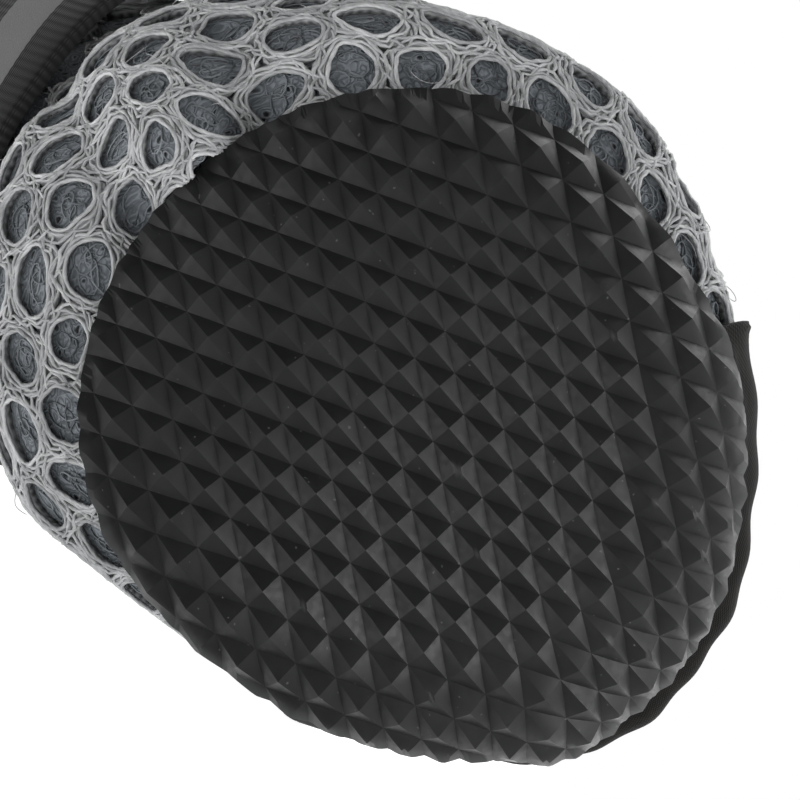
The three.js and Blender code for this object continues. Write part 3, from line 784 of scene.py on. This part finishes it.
def mesh_ties(cells, finish, rng):
    """Short yarns that cross each land slantwise, from one hole's rim to the next."""
    steps = 7
    t = np.linspace(-1, 1, steps)[None, None]
    count = len(cells)
    sides = np.arange(3) * TURN / 6
    offsets = [-0.75, 0.35]
    reach = 0.62
    lines_x, lines_y, lines_h = [], [], []
    for side in sides:
        outward = np.array([math.cos(side), math.sin(side)])
        level = np.array([-math.sin(side), math.cos(side)])
        for offset in offsets:
            slant = rng.choice([-1, 1], count)[:, None] * rng.uniform(0.35, 0.8, (count, 1))
            start = offset + rng.uniform(-0.2, 0.2, (count, 1))
            sideways = start + slant * t[0]
            forward = PITCH / 2 + reach * t[0] + 0.08 * np.sin(3 * t[0] + start * 9)
            lines_x.append(cells[:, :1] + forward * outward[0] + sideways * level[0])
            lines_y.append(cells[:, 1:] + forward * outward[1] + sideways * level[1])
            lines_h.append(-0.3 + 0.2 * (1 - t[0] ** 2) + 0 * start)
    x, y, height = [np.concatenate(part) for part in (lines_x, lines_y, lines_h)]
    shade = rng.uniform(0, 1, len(x))
    fabric_tubes("mesh_ties", x, y, height, STRAND * 0.8, 4, finish, False, shade)


def mesh_swirls(cells, finish, rng):
    """Fine loops of the backing knit that show inside each hole."""
    steps, each = 11, 4
    theta = np.linspace(0, TURN, steps, endpoint=False)[None]
    count = len(cells) * each
    middles = np.repeat(cells, each, 0)
    angle = np.tile(np.arange(each) / each * TURN, len(cells)) + rng.uniform(-0.5, 0.5, count)
    away = rng.uniform(0.3, 1.2, count)
    radius = rng.uniform(0.5, 1.1, count)[:, None]
    phase = rng.uniform(0, TURN, (count, 2))
    shape = radius * (1 + 0.2 * np.sin(2 * theta + phase[:, :1]))
    x = (middles[:, 0] + away * np.cos(angle))[:, None] + shape * np.cos(theta)
    y = (middles[:, 1] + away * np.sin(angle))[:, None] + shape * np.sin(theta)
    height = -MESH["depth"] + 0.12 + 0.1 * np.sin(theta + phase[:, 1:])
    shade = rng.uniform(0, 1, count)
    fabric_tubes("mesh_swirls", x, y, height, 0.085, 3, finish, True, shade)


def mesh_backing(finish):
    """The knit behind the holes and the lining: a closed sheet round the boot between two depths."""
    rows, around = 90, 190
    v = np.linspace(ROW["lasting"], ROW["collar"], rows)
    phi = np.linspace(0, TURN, around, endpoint=False)
    v, phi = np.meshgrid(v, phi, indexing="ij")
    wall = mix(WALL, COLLAR_WALL, smooth(v - ROW["collar"] + 1))
    outer = draped(v.ravel(), phi.ravel(), -np.minimum(MESH["depth"], wall - 0.4).ravel())
    inner = plain(v.ravel(), phi.ravel(), -wall.ravel())
    points = np.concatenate([outer, inner[::-1].reshape(rows, around, 3)[:, ::-1].reshape(-1, 3)])
    faces = grid_faces(2 * rows, around, closed_rows=True, closed_columns=True)
    where = np.stack([phi * ROUND, v * ROW_HEIGHT, 0 * v], -1).reshape(-1, 3)
    back = where[::-1].reshape(rows, around, 3)[:, ::-1].reshape(-1, 3)
    piece = mesh_object("mesh_backing", points, [faces], finish,
                        {"where": np.concatenate([where, back])})
    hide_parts("upper")
    return piece


def stray_fibres(cells, finish, rng):
    """A few loose pale fibres that stand off the mesh."""
    count, steps = 90, 9
    chosen = cells[rng.integers(0, len(cells), count)]
    t = np.linspace(0, 1, steps)[None]
    heading = rng.uniform(0, TURN, (count, 1))
    length = rng.uniform(1.2, 3.6, (count, 1))
    curl = rng.uniform(-2.2, 2.2, (count, 1))
    x = chosen[:, :1] + 2.4 + length * t * np.cos(heading + curl * t)
    y = chosen[:, 1:] + length * t * np.sin(heading + curl * t)
    rise = rng.uniform(0.25, 1.0, (count, 1))
    height = -0.1 + rise * np.sin(t * math.pi * rng.uniform(0.5, 1, (count, 1)))
    fabric_tubes("stray_fibres", x, y, height, 0.028, 4, finish, False, rng.uniform(0, 1, count))


# ------------------------------------------------------------ toe cap, strap, binding and insole


def toe_cap(finish):
    """A sheet over the toe, between the sole's rim and the rear edge. At each angle the row runs from the
    rim to where the last passes the rear edge; the sheet's section is a thin loop with rolled edges."""
    reach = math.acos((TOE_CAP["side_x"] - SOLE["widest_x"]) / SOLE["toe_length"])
    around, up = 130, 30
    phi = np.linspace(-0.998 * reach, 0.998 * reach, around)
    v = np.linspace(1.0, 5.0, 400)
    low, high = np.zeros(around), np.zeros(around)
    for k, angle in enumerate(phi):
        line = last_surface(v, np.full(v.shape, angle))
        rim = line[0, 2] + TOE_CAP["rim_clearance"]
        low[k] = v[np.argmax(line[:, 2] > rim)]
        behind = (line[:, 0] < rear_edge_x(line[:, 2])) & (v > low[k])
        high[k] = v[np.argmax(behind)] if behind.any() else low[k]
    turned = np.clip((np.abs(phi) - phi[-1]) / (TOE_CAP["round"] * DEG) + 1, 0, 1)
    high = low + np.maximum(0.02, (high - low) * np.sqrt(1 - turned * turned))
    rim_steps = 7
    rising = np.linspace(0, 1, up)
    t = np.concatenate([np.zeros(rim_steps), rising, np.ones(rim_steps), rising[::-1]])
    near, far = GAP + 0.02, GAP + TOE_CAP["thickness"] - 0.2
    turned = np.linspace(0, math.pi, rim_steps + 2)[1:-1]
    middle, half = (near + far) / 2, (far - near) / 2
    lift = np.concatenate([middle - half * np.cos(turned), np.full(up, far),
                           middle + half * np.cos(turned), np.full(up, near)])
    out = np.concatenate([-half * np.sin(turned), np.zeros(up), half * np.sin(turned), np.zeros(up)])
    rows = mix(low[:, None], high[:, None], t[None]) + out[None] / END_ROW_HEIGHT
    angle = np.broadcast_to(phi[:, None], rows.shape)
    # The cap's cloth swells a little between its stitches along both edges.
    inner = np.minimum(t, 1 - t)[None] * (high - low)[:, None] * END_ROW_HEIGHT
    stitched = 0.16 * np.abs(np.sin(angle * 31)) * np.exp(-((inner - 0.8) / 0.8) ** 2)
    lumps = 0.25 + 0.25 * np.sin(angle * 23) * np.sin(angle * 9 + 1)
    thick = np.where(lift > middle, 1, 0)[None] * (stitched + lumps)
    points = draped(rows.ravel(), angle.ravel(), (lift[None] + thick - 0.1).ravel())
    count = len(t)
    faces = [grid_faces(around, count, closed_columns=True)] + loop_ends(around, count)
    where = np.stack([angle * 30, rows * END_ROW_HEIGHT, np.broadcast_to(lift, rows.shape)], -1)
    piece = mesh_object("toe_cap_cloth", points, faces, finish,
                        {"where": where.reshape(-1, 3)})
    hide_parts("toe_cap")
    return piece


def rolled_edge(share):
    """0 over the strap's width, rising to 1 as a square at its two edges."""
    return np.maximum(0, (np.abs(2 * share - 1) - 0.94) / 0.06) ** 2


def ribbon_profile(share):
    """Height of the strap's outer face across it: a reflective band a little proud of two ribbed edges."""
    from_band = np.abs(STRAP["width"] * share - STRAP_BAND["middle"])
    band = 1 - smooth((from_band - STRAP_BAND["half"]) / 0.16)
    return 0.05 * band - 0.35 * rolled_edge(share)


def ankle_strap(finish):
    """A flat strap carried once round the ankle and over its own start. Its section is a thin loop."""
    total = 360 + STRAP["overlap"]
    steps, across = 420, 22
    turned = np.linspace(0, total, steps)
    phi = (STRAP["start"] + turned) * DEG
    ramp = smooth((turned - STRAP["ramp_from"]) / (356 - STRAP["ramp_from"]))
    lift = (STRAP["thickness"] + GAP) * ramp
    past = np.clip((turned - total) / STRAP["tip_length"] + 1, 0, 1)
    half = 0.49 * np.sqrt(1 - 0.96 * past * past)
    share = np.linspace(0, 1, across)
    # Its upper edge stands off the heel.
    pulled = strap_pull(turned + STRAP["start"])
    slack = np.maximum(0, np.cos((turned + STRAP["start"] - STRAP_SLACK["at"]) * DEG))
    slack = STRAP_SLACK["most"] * slack ** 2
    middle = (ROW["ankle"] + ROW["strap_top"]) / 2 + pulled
    row = middle[:, None] + half[:, None] * (2 * share[None] - 1)
    outer = STRAP["thickness"] - 0.1 + ribbon_profile(share)
    inner = 0.05 + 0.2 * rolled_edge(share)
    rows = np.concatenate([row, row[:, ::-1]], 1)
    heights = GAP + lift[:, None] + np.concatenate([outer, inner[::-1]])[None]
    heights = heights + slack[:, None] * np.concatenate([share, share[::-1]])[None]
    angle = np.broadcast_to(phi[:, None], rows.shape)
    points = plain(rows.ravel(), angle.ravel(), heights.ravel())
    count = 2 * across
    faces = [grid_faces(steps, count, closed_columns=True)] + loop_ends(steps, count)
    shares = np.broadcast_to(np.concatenate([share, share[::-1]])[None], rows.shape)
    along_it = np.broadcast_to((turned * DEG * 20.5)[:, None], rows.shape)
    face = np.broadcast_to(np.repeat([1.0, 0.0], across)[None], rows.shape)
    where = np.stack([along_it, shares * STRAP["width"], face], -1)
    piece = mesh_object("ankle_strap_webbing", points, faces, finish,
                        {"where": where.reshape(-1, 3)})
    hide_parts("ankle_strap")
    return piece


def collar_binding(finish):
    """A ribbon folded over the collar: a U section of a near and a far loop, carried round."""
    around, leg = 240, 6
    phi = np.linspace(0, TURN, around, endpoint=False)
    thick = BINDING["thickness"]
    low, top = BINDING_LOW, ROW["collar"]
    section = []
    for s in np.linspace(0, 1, leg):
        section.append((mix(low, top, s), GAP + thick - 0.12 * (s < 0.1), 0))
    for s in np.linspace(0, 1, 9)[1:-1]:
        turned = s * math.pi
        middle, half = -COLLAR_WALL / 2, COLLAR_WALL / 2 + GAP + thick
        section.append((top, middle + half * math.cos(turned), (GAP + thick) * math.sin(turned)))
    for s in np.linspace(1, 0, leg):
        wall = mix(WALL, COLLAR_WALL, s)
        section.append((mix(low, top, s), -wall - GAP - thick, 0))
    for s in np.linspace(0, 1, leg):
        wall = mix(WALL, COLLAR_WALL, s)
        section.append((mix(low, top, s), -wall - 0.05, 0))
    for s in np.linspace(0, 1, 7)[1:-1]:
        turned = s * math.pi
        half = COLLAR_WALL / 2 + 0.05
        section.append((top, -COLLAR_WALL / 2 - half * math.cos(turned), 0.1 * math.sin(turned)))
    for s in np.linspace(1, 0, leg):
        section.append((mix(low, top, s), 0.08, 0))
    section = np.array(section)
    rows = np.broadcast_to(section[None, :, 0], (around, len(section)))
    angle = np.broadcast_to(phi[:, None], rows.shape)
    heights = np.broadcast_to(section[None, :, 1], rows.shape)
    edge = plain_surface(np.full(around, float(top)), phi)
    up = unit(edge - plain_surface(np.full(around, top - 0.1), phi))
    points = plain(rows.ravel(), angle.ravel(), heights.ravel()).reshape(around, -1, 3)
    points = points + up[:, None] * section[None, :, 2:]
    faces = grid_faces(around, len(section), closed_rows=True, closed_columns=True)
    where = np.stack([angle * 21, rows * END_ROW_HEIGHT, heights], -1)
    piece = mesh_object("collar_binding_ribbon", points, [faces], finish,
                        {"where": where.reshape(-1, 3)})
    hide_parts("collar_binding")
    return piece


def insole(finish):
    """A foam footbed: rings of the sole's outline between two offsets from it, with a rounded edge and a
    slightly cupped top."""
    rings, around = 26, 160
    limit = LASTING_SHARE - 2 * GAP / SOLE["half_width"]
    phi = np.linspace(0, TURN, around, endpoint=False)
    share = np.linspace(0.02, 1, rings)
    roll = 0.5 * (1 - np.sqrt(np.clip(1 - np.maximum(0, (share - 0.955) / 0.045) ** 2, 0, 1)))
    top = GAP + INSOLE["thickness"] - roll - 0.25 * (1 - share ** 2)
    low = GAP + 0.03 + roll
    heights = np.concatenate([top, low[::-1]])
    shares = np.concatenate([share, share[::-1]]) * limit
    x, y = flat_place(shares[:, None], phi[None])
    height = np.broadcast_to(heights[:, None], x.shape)
    points = sole_offset(x.ravel(), y.ravel(), height.ravel())
    faces = [grid_faces(2 * rings, around, closed_columns=True, flip=True)]
    faces += loop_ends(2 * rings, around, flip=True)
    piece = mesh_object("insole_foam", points, faces, finish,
                        {"where": np.stack([x, y, height], -1).reshape(-1, 3)})
    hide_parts("insole")
    return piece


# ------------------------------------------------------------ materials


def feed(links, socket, value):
    """Joins a socket to another node's output, or sets it to a value."""
    if isinstance(value, bpy.types.NodeSocket):
        links.new(value, socket)
    else:
        socket.default_value = value


class Finish:
    """A material with a short way to add nodes and join them."""

    def __init__(self, name, roughness, specular=0.5, sheen=0.0, sheen_roughness=0.5):
        self.material = bpy.data.materials.new(name)
        self.material.use_nodes = True
        self.nodes = self.material.node_tree.nodes
        self.links = self.material.node_tree.links
        self.shader = self.nodes["Principled BSDF"]
        self.shader.inputs["Roughness"].default_value = roughness
        self.shader.inputs["Specular IOR Level"].default_value = specular
        self.shader.inputs["Sheen Weight"].default_value = sheen
        self.shader.inputs["Sheen Roughness"].default_value = sheen_roughness

    def node(self, kind, inputs=None, **settings):
        made = self.nodes.new(kind)
        for key, value in settings.items():
            setattr(made, key, value)
        for key, value in (inputs or {}).items():
            feed(self.links, made.inputs[key], value)
        return made

    def attribute(self, name, output="Vector"):
        return self.node("ShaderNodeAttribute", attribute_name=name).outputs[output]

    def math(self, operation, a, b=0.0, c=0.0):
        return self.node("ShaderNodeMath", {0: a, 1: b, 2: c}, operation=operation).outputs[0]

    def ripple(self, value, rate):
        return self.math("SINE", self.math("MULTIPLY", value, rate))

    def halved(self, value):
        """A value from -1 to 1 brought to between 0 and 1."""
        return self.math("MULTIPLY_ADD", value, 0.5, 0.5)

    def wave(self, value, rate):
        return self.halved(self.ripple(value, rate))

    def noise(self, vector, scale, detail=2.0, roughness=0.5):
        made = self.node("ShaderNodeTexNoise", {"Vector": vector, "Scale": scale, "Detail": detail,
                                                "Roughness": roughness})
        return made.outputs["Fac"]

    def spread(self, value, low, high, to_low=0.0, to_high=1.0):
        inputs = {"Value": value, "From Min": low, "From Max": high, "To Min": to_low, "To Max": to_high}
        return self.node("ShaderNodeMapRange", inputs, interpolation_type="SMOOTHSTEP").outputs["Result"]

    def blend(self, share, a, b):
        made = self.node("ShaderNodeMix", data_type="RGBA")
        for index, value in ((0, share), (6, a), (7, b)):
            feed(self.links, made.inputs[index], value)
        return made.outputs[2]

    def scaled(self, vector, scale):
        return self.node("ShaderNodeVectorMath", {0: vector, 1: scale}, operation="MULTIPLY").outputs[0]

    def split(self, vector):
        return self.node("ShaderNodeSeparateXYZ", {0: vector}).outputs

    def colour(self, value):
        self.links.new(value, self.shader.inputs["Base Color"])

    def rough(self, value):
        self.links.new(value, self.shader.inputs["Roughness"])

    def bump(self, height, distance, strength=1.0):
        made = self.node("ShaderNodeBump", {"Height": height, "Distance": distance / 1000,
                                            "Strength": strength})
        self.links.new(made.outputs[0], self.shader.inputs["Normal"])


def grey(level, warm=0.0):
    """A linear grey from an 8-bit screen level, a little warm or cool."""
    share = level / 255
    linear = share / 12.92 if share < 0.04045 else ((share + 0.055) / 1.055) ** 2.4
    return (linear * (1 + warm), linear, linear * (1 - warm), 1)


def rubber_finish():
    """Black rubber, a little paler along the ridges and on worn tips, with a painted sheen along the rim,
    and with specks.
    """
    made = Finish("black_rubber", 0.4, 0.46)
    flat = made.attribute("flat")
    tip = made.attribute("tip", "Fac")
    wear_and_rim_sheen = made.attribute("wear_and_rim_sheen", "Fac")
    cloud = made.noise(flat, 0.35, 3.0)
    grain = made.noise(flat, 9.0, 3.0, 0.6)
    base = made.blend(made.spread(cloud, 0.3, 0.7), grey(27, -0.02), grey(34, -0.02))
    ridge = made.spread(tip, 0.86, 1.0, 0.0, 0.25)
    base = made.blend(ridge, base, grey(52, -0.02))
    # Paler on worn tips, and a painted sheen along the rim towards the toe and on the left.
    base = made.blend(wear_and_rim_sheen, base, grey(84, -0.02))
    specks = made.spread(made.noise(flat, 2.6, 1.0), 0.76, 0.8)
    base = made.blend(made.math("MULTIPLY", specks, 0.5), base, grey(100))
    made.colour(base)
    made.rough(made.spread(made.noise(flat, 1.7, 3.0), 0.3, 0.7, 0.34, 0.46))
    made.bump(grain, 0.012, 0.6)
    return made.material


def strand_finish():
    """Pale bundled filaments: fine lines that wind along each strand, and a shade of its own for each."""
    made = Finish("mesh_strands", 0.62, 0.35, 0.25, 0.45)
    along_it, turned, shade = made.split(made.attribute("thread"))
    wound = made.math("MULTIPLY_ADD", along_it, 9.0, made.math("MULTIPLY", turned, 2.0))
    filament = made.halved(made.math("SINE", wound))
    soft = made.noise(made.node("ShaderNodeTexCoord").outputs["Object"], 900.0, 2.0)
    tone = made.math("ADD", made.math("MULTIPLY", filament, 0.25), made.math("MULTIPLY", shade, 0.75))
    base = made.blend(tone, grey(158, -0.02), grey(210, -0.01))
    base = made.blend(made.spread(soft, 0.35, 0.7, 0.0, 0.4), base, grey(132, -0.03))
    made.colour(base)
    made.bump(filament, 0.03, 0.7)
    return made.material


def web_finish():
    """The land under the strands: close parallel yarns round each hole, with painted shade that makes it
    darker down the hole's wall.
    """
    made = Finish("mesh_web", 0.75, 0.3, 0.2, 0.5)
    where = made.attribute("where")
    around, radius = made.split(where)[:2]
    deep = made.attribute("deep", "Fac")
    warp = made.noise(where, 1.4, 2.0)
    lines = made.math("SINE", made.math("MULTIPLY_ADD", warp, 5.0, made.math("MULTIPLY", radius, 19.0)))
    posts = made.math("SINE", made.math("MULTIPLY_ADD", warp, 3.0, made.math("MULTIPLY", around, 9.0)))
    wall = made.spread(deep, 0.35, 0.7)
    pattern = made.halved(made.blend(wall, lines, posts))
    # The land's top is a little darker than the strands, partly its own grey and partly painted shade of the
    # gaps between them; down the hole's wall it is painted darker still, as shade.
    top = made.blend(pattern, grey(126, -0.02), grey(180, -0.01))
    side = made.blend(pattern, grey(78, -0.03), grey(140, -0.02))
    made.colour(made.blend(wall, top, side))
    made.bump(pattern, 0.12, 0.9)
    return made.material


def backing_finish():
    """Fine bluish-grey knit: pale loops round small holes, painted dark as the shade seen through them."""
    made = Finish("mesh_backing", 0.85, 0.2, 0.15, 0.5)
    where = made.attribute("where")
    pulled = made.node("ShaderNodeTexNoise", {"Vector": where, "Scale": 0.8, "Detail": 2.0}).outputs["Color"]
    moved = made.node("ShaderNodeVectorMath", {0: where, 1: made.scaled(pulled, (1.3, 1.3, 0.0))},
                      operation="ADD").outputs[0]
    cells = made.node("ShaderNodeTexVoronoi", {"Vector": moved, "Scale": 1.05, "Randomness": 0.75},
                      feature="F1")
    distance = cells.outputs["Distance"]
    hole = made.spread(distance, 0.14, 0.27, 1.0, 0.0)
    rings = made.wave(distance, 24.0)
    base = made.blend(rings, grey(108, -0.1), grey(142, -0.09))
    # Painted shade: each small hole is filled near black, for the shade seen through it.
    base = made.blend(made.math("MULTIPLY", hole, 0.95), base, grey(26, -0.05))
    made.colour(base)
    made.bump(made.math("SUBTRACT", rings, made.math("MULTIPLY", hole, 2.0)), 0.1, 0.8)
    return made.material


def swirl_finish():
    """Bluish-grey backing yarn, with a shade of its own for each loop."""
    made = Finish("mesh_swirls", 0.8, 0.2, 0.15, 0.5)
    shade = made.split(made.attribute("thread"))[2]
    made.colour(made.blend(shade, grey(100, -0.09), grey(144, -0.08)))
    return made.material


def cap_finish():
    """Close black woven cloth, brownish, with a fine two-way weave."""
    made = Finish("toe_cap_cloth", 0.7, 0.15, 0.0, 0.4)
    where = made.attribute("where")
    x, y = made.split(where)[:2]
    weave = made.halved(made.math("MULTIPLY", made.ripple(x, 14.0), made.ripple(y, 14.0)))
    cloud = made.noise(where, 0.5, 3.0)
    base = made.blend(weave, grey(8, 0.12), grey(22, 0.1))
    base = made.blend(made.spread(cloud, 0.4, 0.7, 0.0, 0.4), base, grey(28, 0.15))
    made.colour(base)
    made.bump(weave, 0.05, 0.8)
    return made.material


def strap_finish():
    """A grey band of fine glass beads between two black ribbed ribbons."""
    made = Finish("strap_webbing", 0.7, 0.4, 0.1, 0.5)
    where = made.attribute("where")
    x, y, face = made.split(where)
    beads = made.noise(where, 7.0, 2.0, 0.7)
    half = STRAP_BAND["half"]
    edge = made.math("ABSOLUTE", made.math("SUBTRACT", y, STRAP_BAND["middle"]))
    band = made.spread(edge, half - 0.04, half + 0.11, 1.0, 0.0)
    band = made.math("MULTIPLY", band, made.spread(face, 0.4, 0.6))
    warp, rib = made.wave(y, 18.0), made.wave(x, TURN / 0.7)
    ribbon = made.blend(made.math("MULTIPLY", warp, rib), grey(18), grey(48))
    base = made.blend(band, ribbon, made.blend(beads, grey(86), grey(122)))
    made.colour(base)
    made.bump(made.blend(band, made.math("MULTIPLY_ADD", warp, 0.3, rib), beads), 0.1, 0.9)
    return made.material


def ribbon_finish():
    """Black ribbon, ribbed across."""
    made = Finish("binding_ribbon", 0.8, 0.3, 0.1, 0.5)
    x, y = made.split(made.attribute("where"))[:2]
    warp, rib = made.wave(y, 18.0), made.wave(x, TURN / 0.8)
    made.colour(made.blend(made.math("MULTIPLY", warp, rib), grey(20), grey(50)))
    made.bump(made.math("MULTIPLY_ADD", warp, 0.3, rib), 0.15, 0.9)
    return made.material


def insole_finish():
    """Dark grey knit."""
    made = Finish("insole_cloth", 0.9, 0.2, 0.2, 0.5)
    x, y = made.split(made.attribute("where"))[:2]
    knit = made.halved(made.math("MULTIPLY", made.ripple(x, 7.0), made.ripple(y, 9.0)))
    made.colour(made.blend(knit, grey(48), grey(78)))
    made.bump(knit, 0.12, 0.8)
    return made.material


# ------------------------------------------------------------ build

rng = np.random.default_rng(11)
outsole(rubber_finish())
mesh_backing(backing_finish())
CELLS = mesh_cells()
HOLES = hole_shapes(len(CELLS), rng)
mesh_web(CELLS, HOLES, web_finish())
STRANDS = strand_finish()
mesh_strands(CELLS, HOLES, STRANDS, rng)
mesh_ties(CELLS, STRANDS, rng)
mesh_swirls(CELLS, swirl_finish(), rng)
stray_fibres(CELLS, STRANDS, rng)
toe_cap(cap_finish())
ankle_strap(strap_finish())
collar_binding(ribbon_finish())
insole(insole_finish())

# ------------------------------------------------------------ camera, lights and floor


# The camera's turn about its own line of sight, in degrees. It faces a point of the sole, in millimetres.
CAMERA = {"turn": 48.931, "faces": (-2.42, -0.33, 0), "distance": 160, "sensor": 36, "lens": 102.24}


def camera():
    """Looks straight at the sole, rolled so that the boot's length runs down to the right."""
    cosine, sine = math.cos(CAMERA["turn"] * DEG), math.sin(CAMERA["turn"] * DEG)
    length_way = LYING @ np.array([1, 0, 0])
    width_way = LYING @ np.array([0, -1, 0])
    outward = LYING @ np.array([0, 0, -1])
    right = cosine * length_way + sine * width_way
    up = cosine * width_way - sine * length_way
    target = LYING @ np.array(CAMERA["faces"]) + SEAT
    data = bpy.data.cameras.new("camera")
    data.sensor_width = CAMERA["sensor"]
    data.lens = CAMERA["lens"]
    data.clip_start = 0.01
    data.clip_end = 20
    made = bpy.data.objects.new("camera", data)
    turned = Matrix(np.stack([right, up, outward], 1).tolist()).to_4x4()
    turned.translation = Vector(((target + outward * CAMERA["distance"]) / 1000).tolist())
    made.matrix_world = turned
    bpy.context.scene.collection.objects.link(made)
    bpy.context.scene.camera = made
    return right, up, outward, target


RIGHT, UP, OUTWARD, TARGET = camera()


def area_light(name, direction, distance, size, power):
    """A square light that faces the boot from a direction in the row frame."""
    data = bpy.data.lights.new(name, "AREA")
    data.shape = "SQUARE"
    data.size = size
    data.energy = power
    made = bpy.data.objects.new(name, data)
    way = Vector(unit(np.asarray(direction, float)).tolist())
    made.rotation_mode = "QUATERNION"
    made.rotation_quaternion = way.to_track_quat("Z", "Y")
    made.location = Vector((TARGET / 1000).tolist()) + way * distance
    bpy.context.scene.collection.objects.link(made)
    return made


def floor():
    """A pale sheet that hides nothing from the lights and doesn't show in glossy pieces."""
    size = 3.0
    corners = [(-size, -size, 0), (size, -size, 0), (size, size, 0), (-size, size, 0)]
    mesh = bpy.data.meshes.new("floor")
    mesh.from_pydata(corners, [], [(0, 1, 2, 3)])
    made = Finish("pale_floor", 0.9, 0.2)
    made.shader.inputs["Base Color"].default_value = (0.6, 0.6, 0.6, 1)
    made.shader.inputs["Emission Color"].default_value = (1, 1, 1, 1)
    made.shader.inputs["Emission Strength"].default_value = 0.95
    mesh.materials.append(made.material)
    piece = bpy.data.objects.new("floor", mesh)
    bpy.context.scene.collection.objects.link(piece)
    piece.visible_glossy = False
    piece.visible_shadow = False


# The light from all round, by direction: an even part, the part from both sides, what the right adds,
# what above adds, and the light from behind the boot.
WORLD = {"low": 0.1, "sides": 0.36, "right": 0.2, "up": -0.14, "behind": 1.5}


def world():
    """White behind the boot, and a soft grey light from all round."""
    made = bpy.data.worlds.new("studio")
    bpy.context.scene.world = made
    made.use_nodes = True
    nodes, links = made.node_tree.nodes, made.node_tree.links
    background = nodes["Background"]
    background.inputs["Strength"].default_value = 1.0
    path = nodes.new("ShaderNodeLightPath")
    blend = nodes.new("ShaderNodeMix")
    blend.data_type = "RGBA"
    blend.inputs[7].default_value = (1, 1, 1, 1)
    links.new(path.outputs["Is Camera Ray"], blend.inputs[0])
    links.new(blend.outputs[2], background.inputs["Color"])
    # The light from all round is brightest from the right, less from the left, least from above, and
    # white from behind the boot.
    direction = nodes.new("ShaderNodeTexCoord").outputs["Generated"]

    def step(operation, first, second, third=0.0):
        made = nodes.new("ShaderNodeMath")
        made.operation = operation
        for index, value in enumerate((first, second, third)):
            feed(links, made.inputs[index], value)
        return made.outputs[0]

    ways = []
    for axis in (RIGHT, UP, OUTWARD):
        dot = nodes.new("ShaderNodeVectorMath")
        dot.operation = "DOT_PRODUCT"
        dot.inputs[1].default_value = axis.tolist()
        links.new(direction, dot.inputs[0])
        ways.append(dot.outputs["Value"])
    level = step("MULTIPLY_ADD", step("MULTIPLY", ways[0], ways[0]), WORLD["sides"], WORLD["low"])
    level = step("MULTIPLY_ADD", ways[0], WORLD["right"], level)
    level = step("MULTIPLY_ADD", ways[1], WORLD["up"], level)
    behind = step("MAXIMUM", step("MULTIPLY", ways[2], -WORLD["behind"]), 0.0)
    level = step("ADD", step("MAXIMUM", level, 0.03), behind)
    links.new(level, blend.inputs[6])


floor()
world()
area_light("light_right", 0.9 * RIGHT - 0.15 * UP + 0.5 * OUTWARD, 0.6, 0.35, 1.15)
area_light("light_left", -0.9 * RIGHT - 0.35 * UP + 0.6 * OUTWARD, 0.6, 0.35, 0.42)
area_light("light_above", np.array([0, 0.2, 1.0]), 0.7, 0.5, 2.0)
bpy.context.scene.view_settings.view_transform = "Standard"
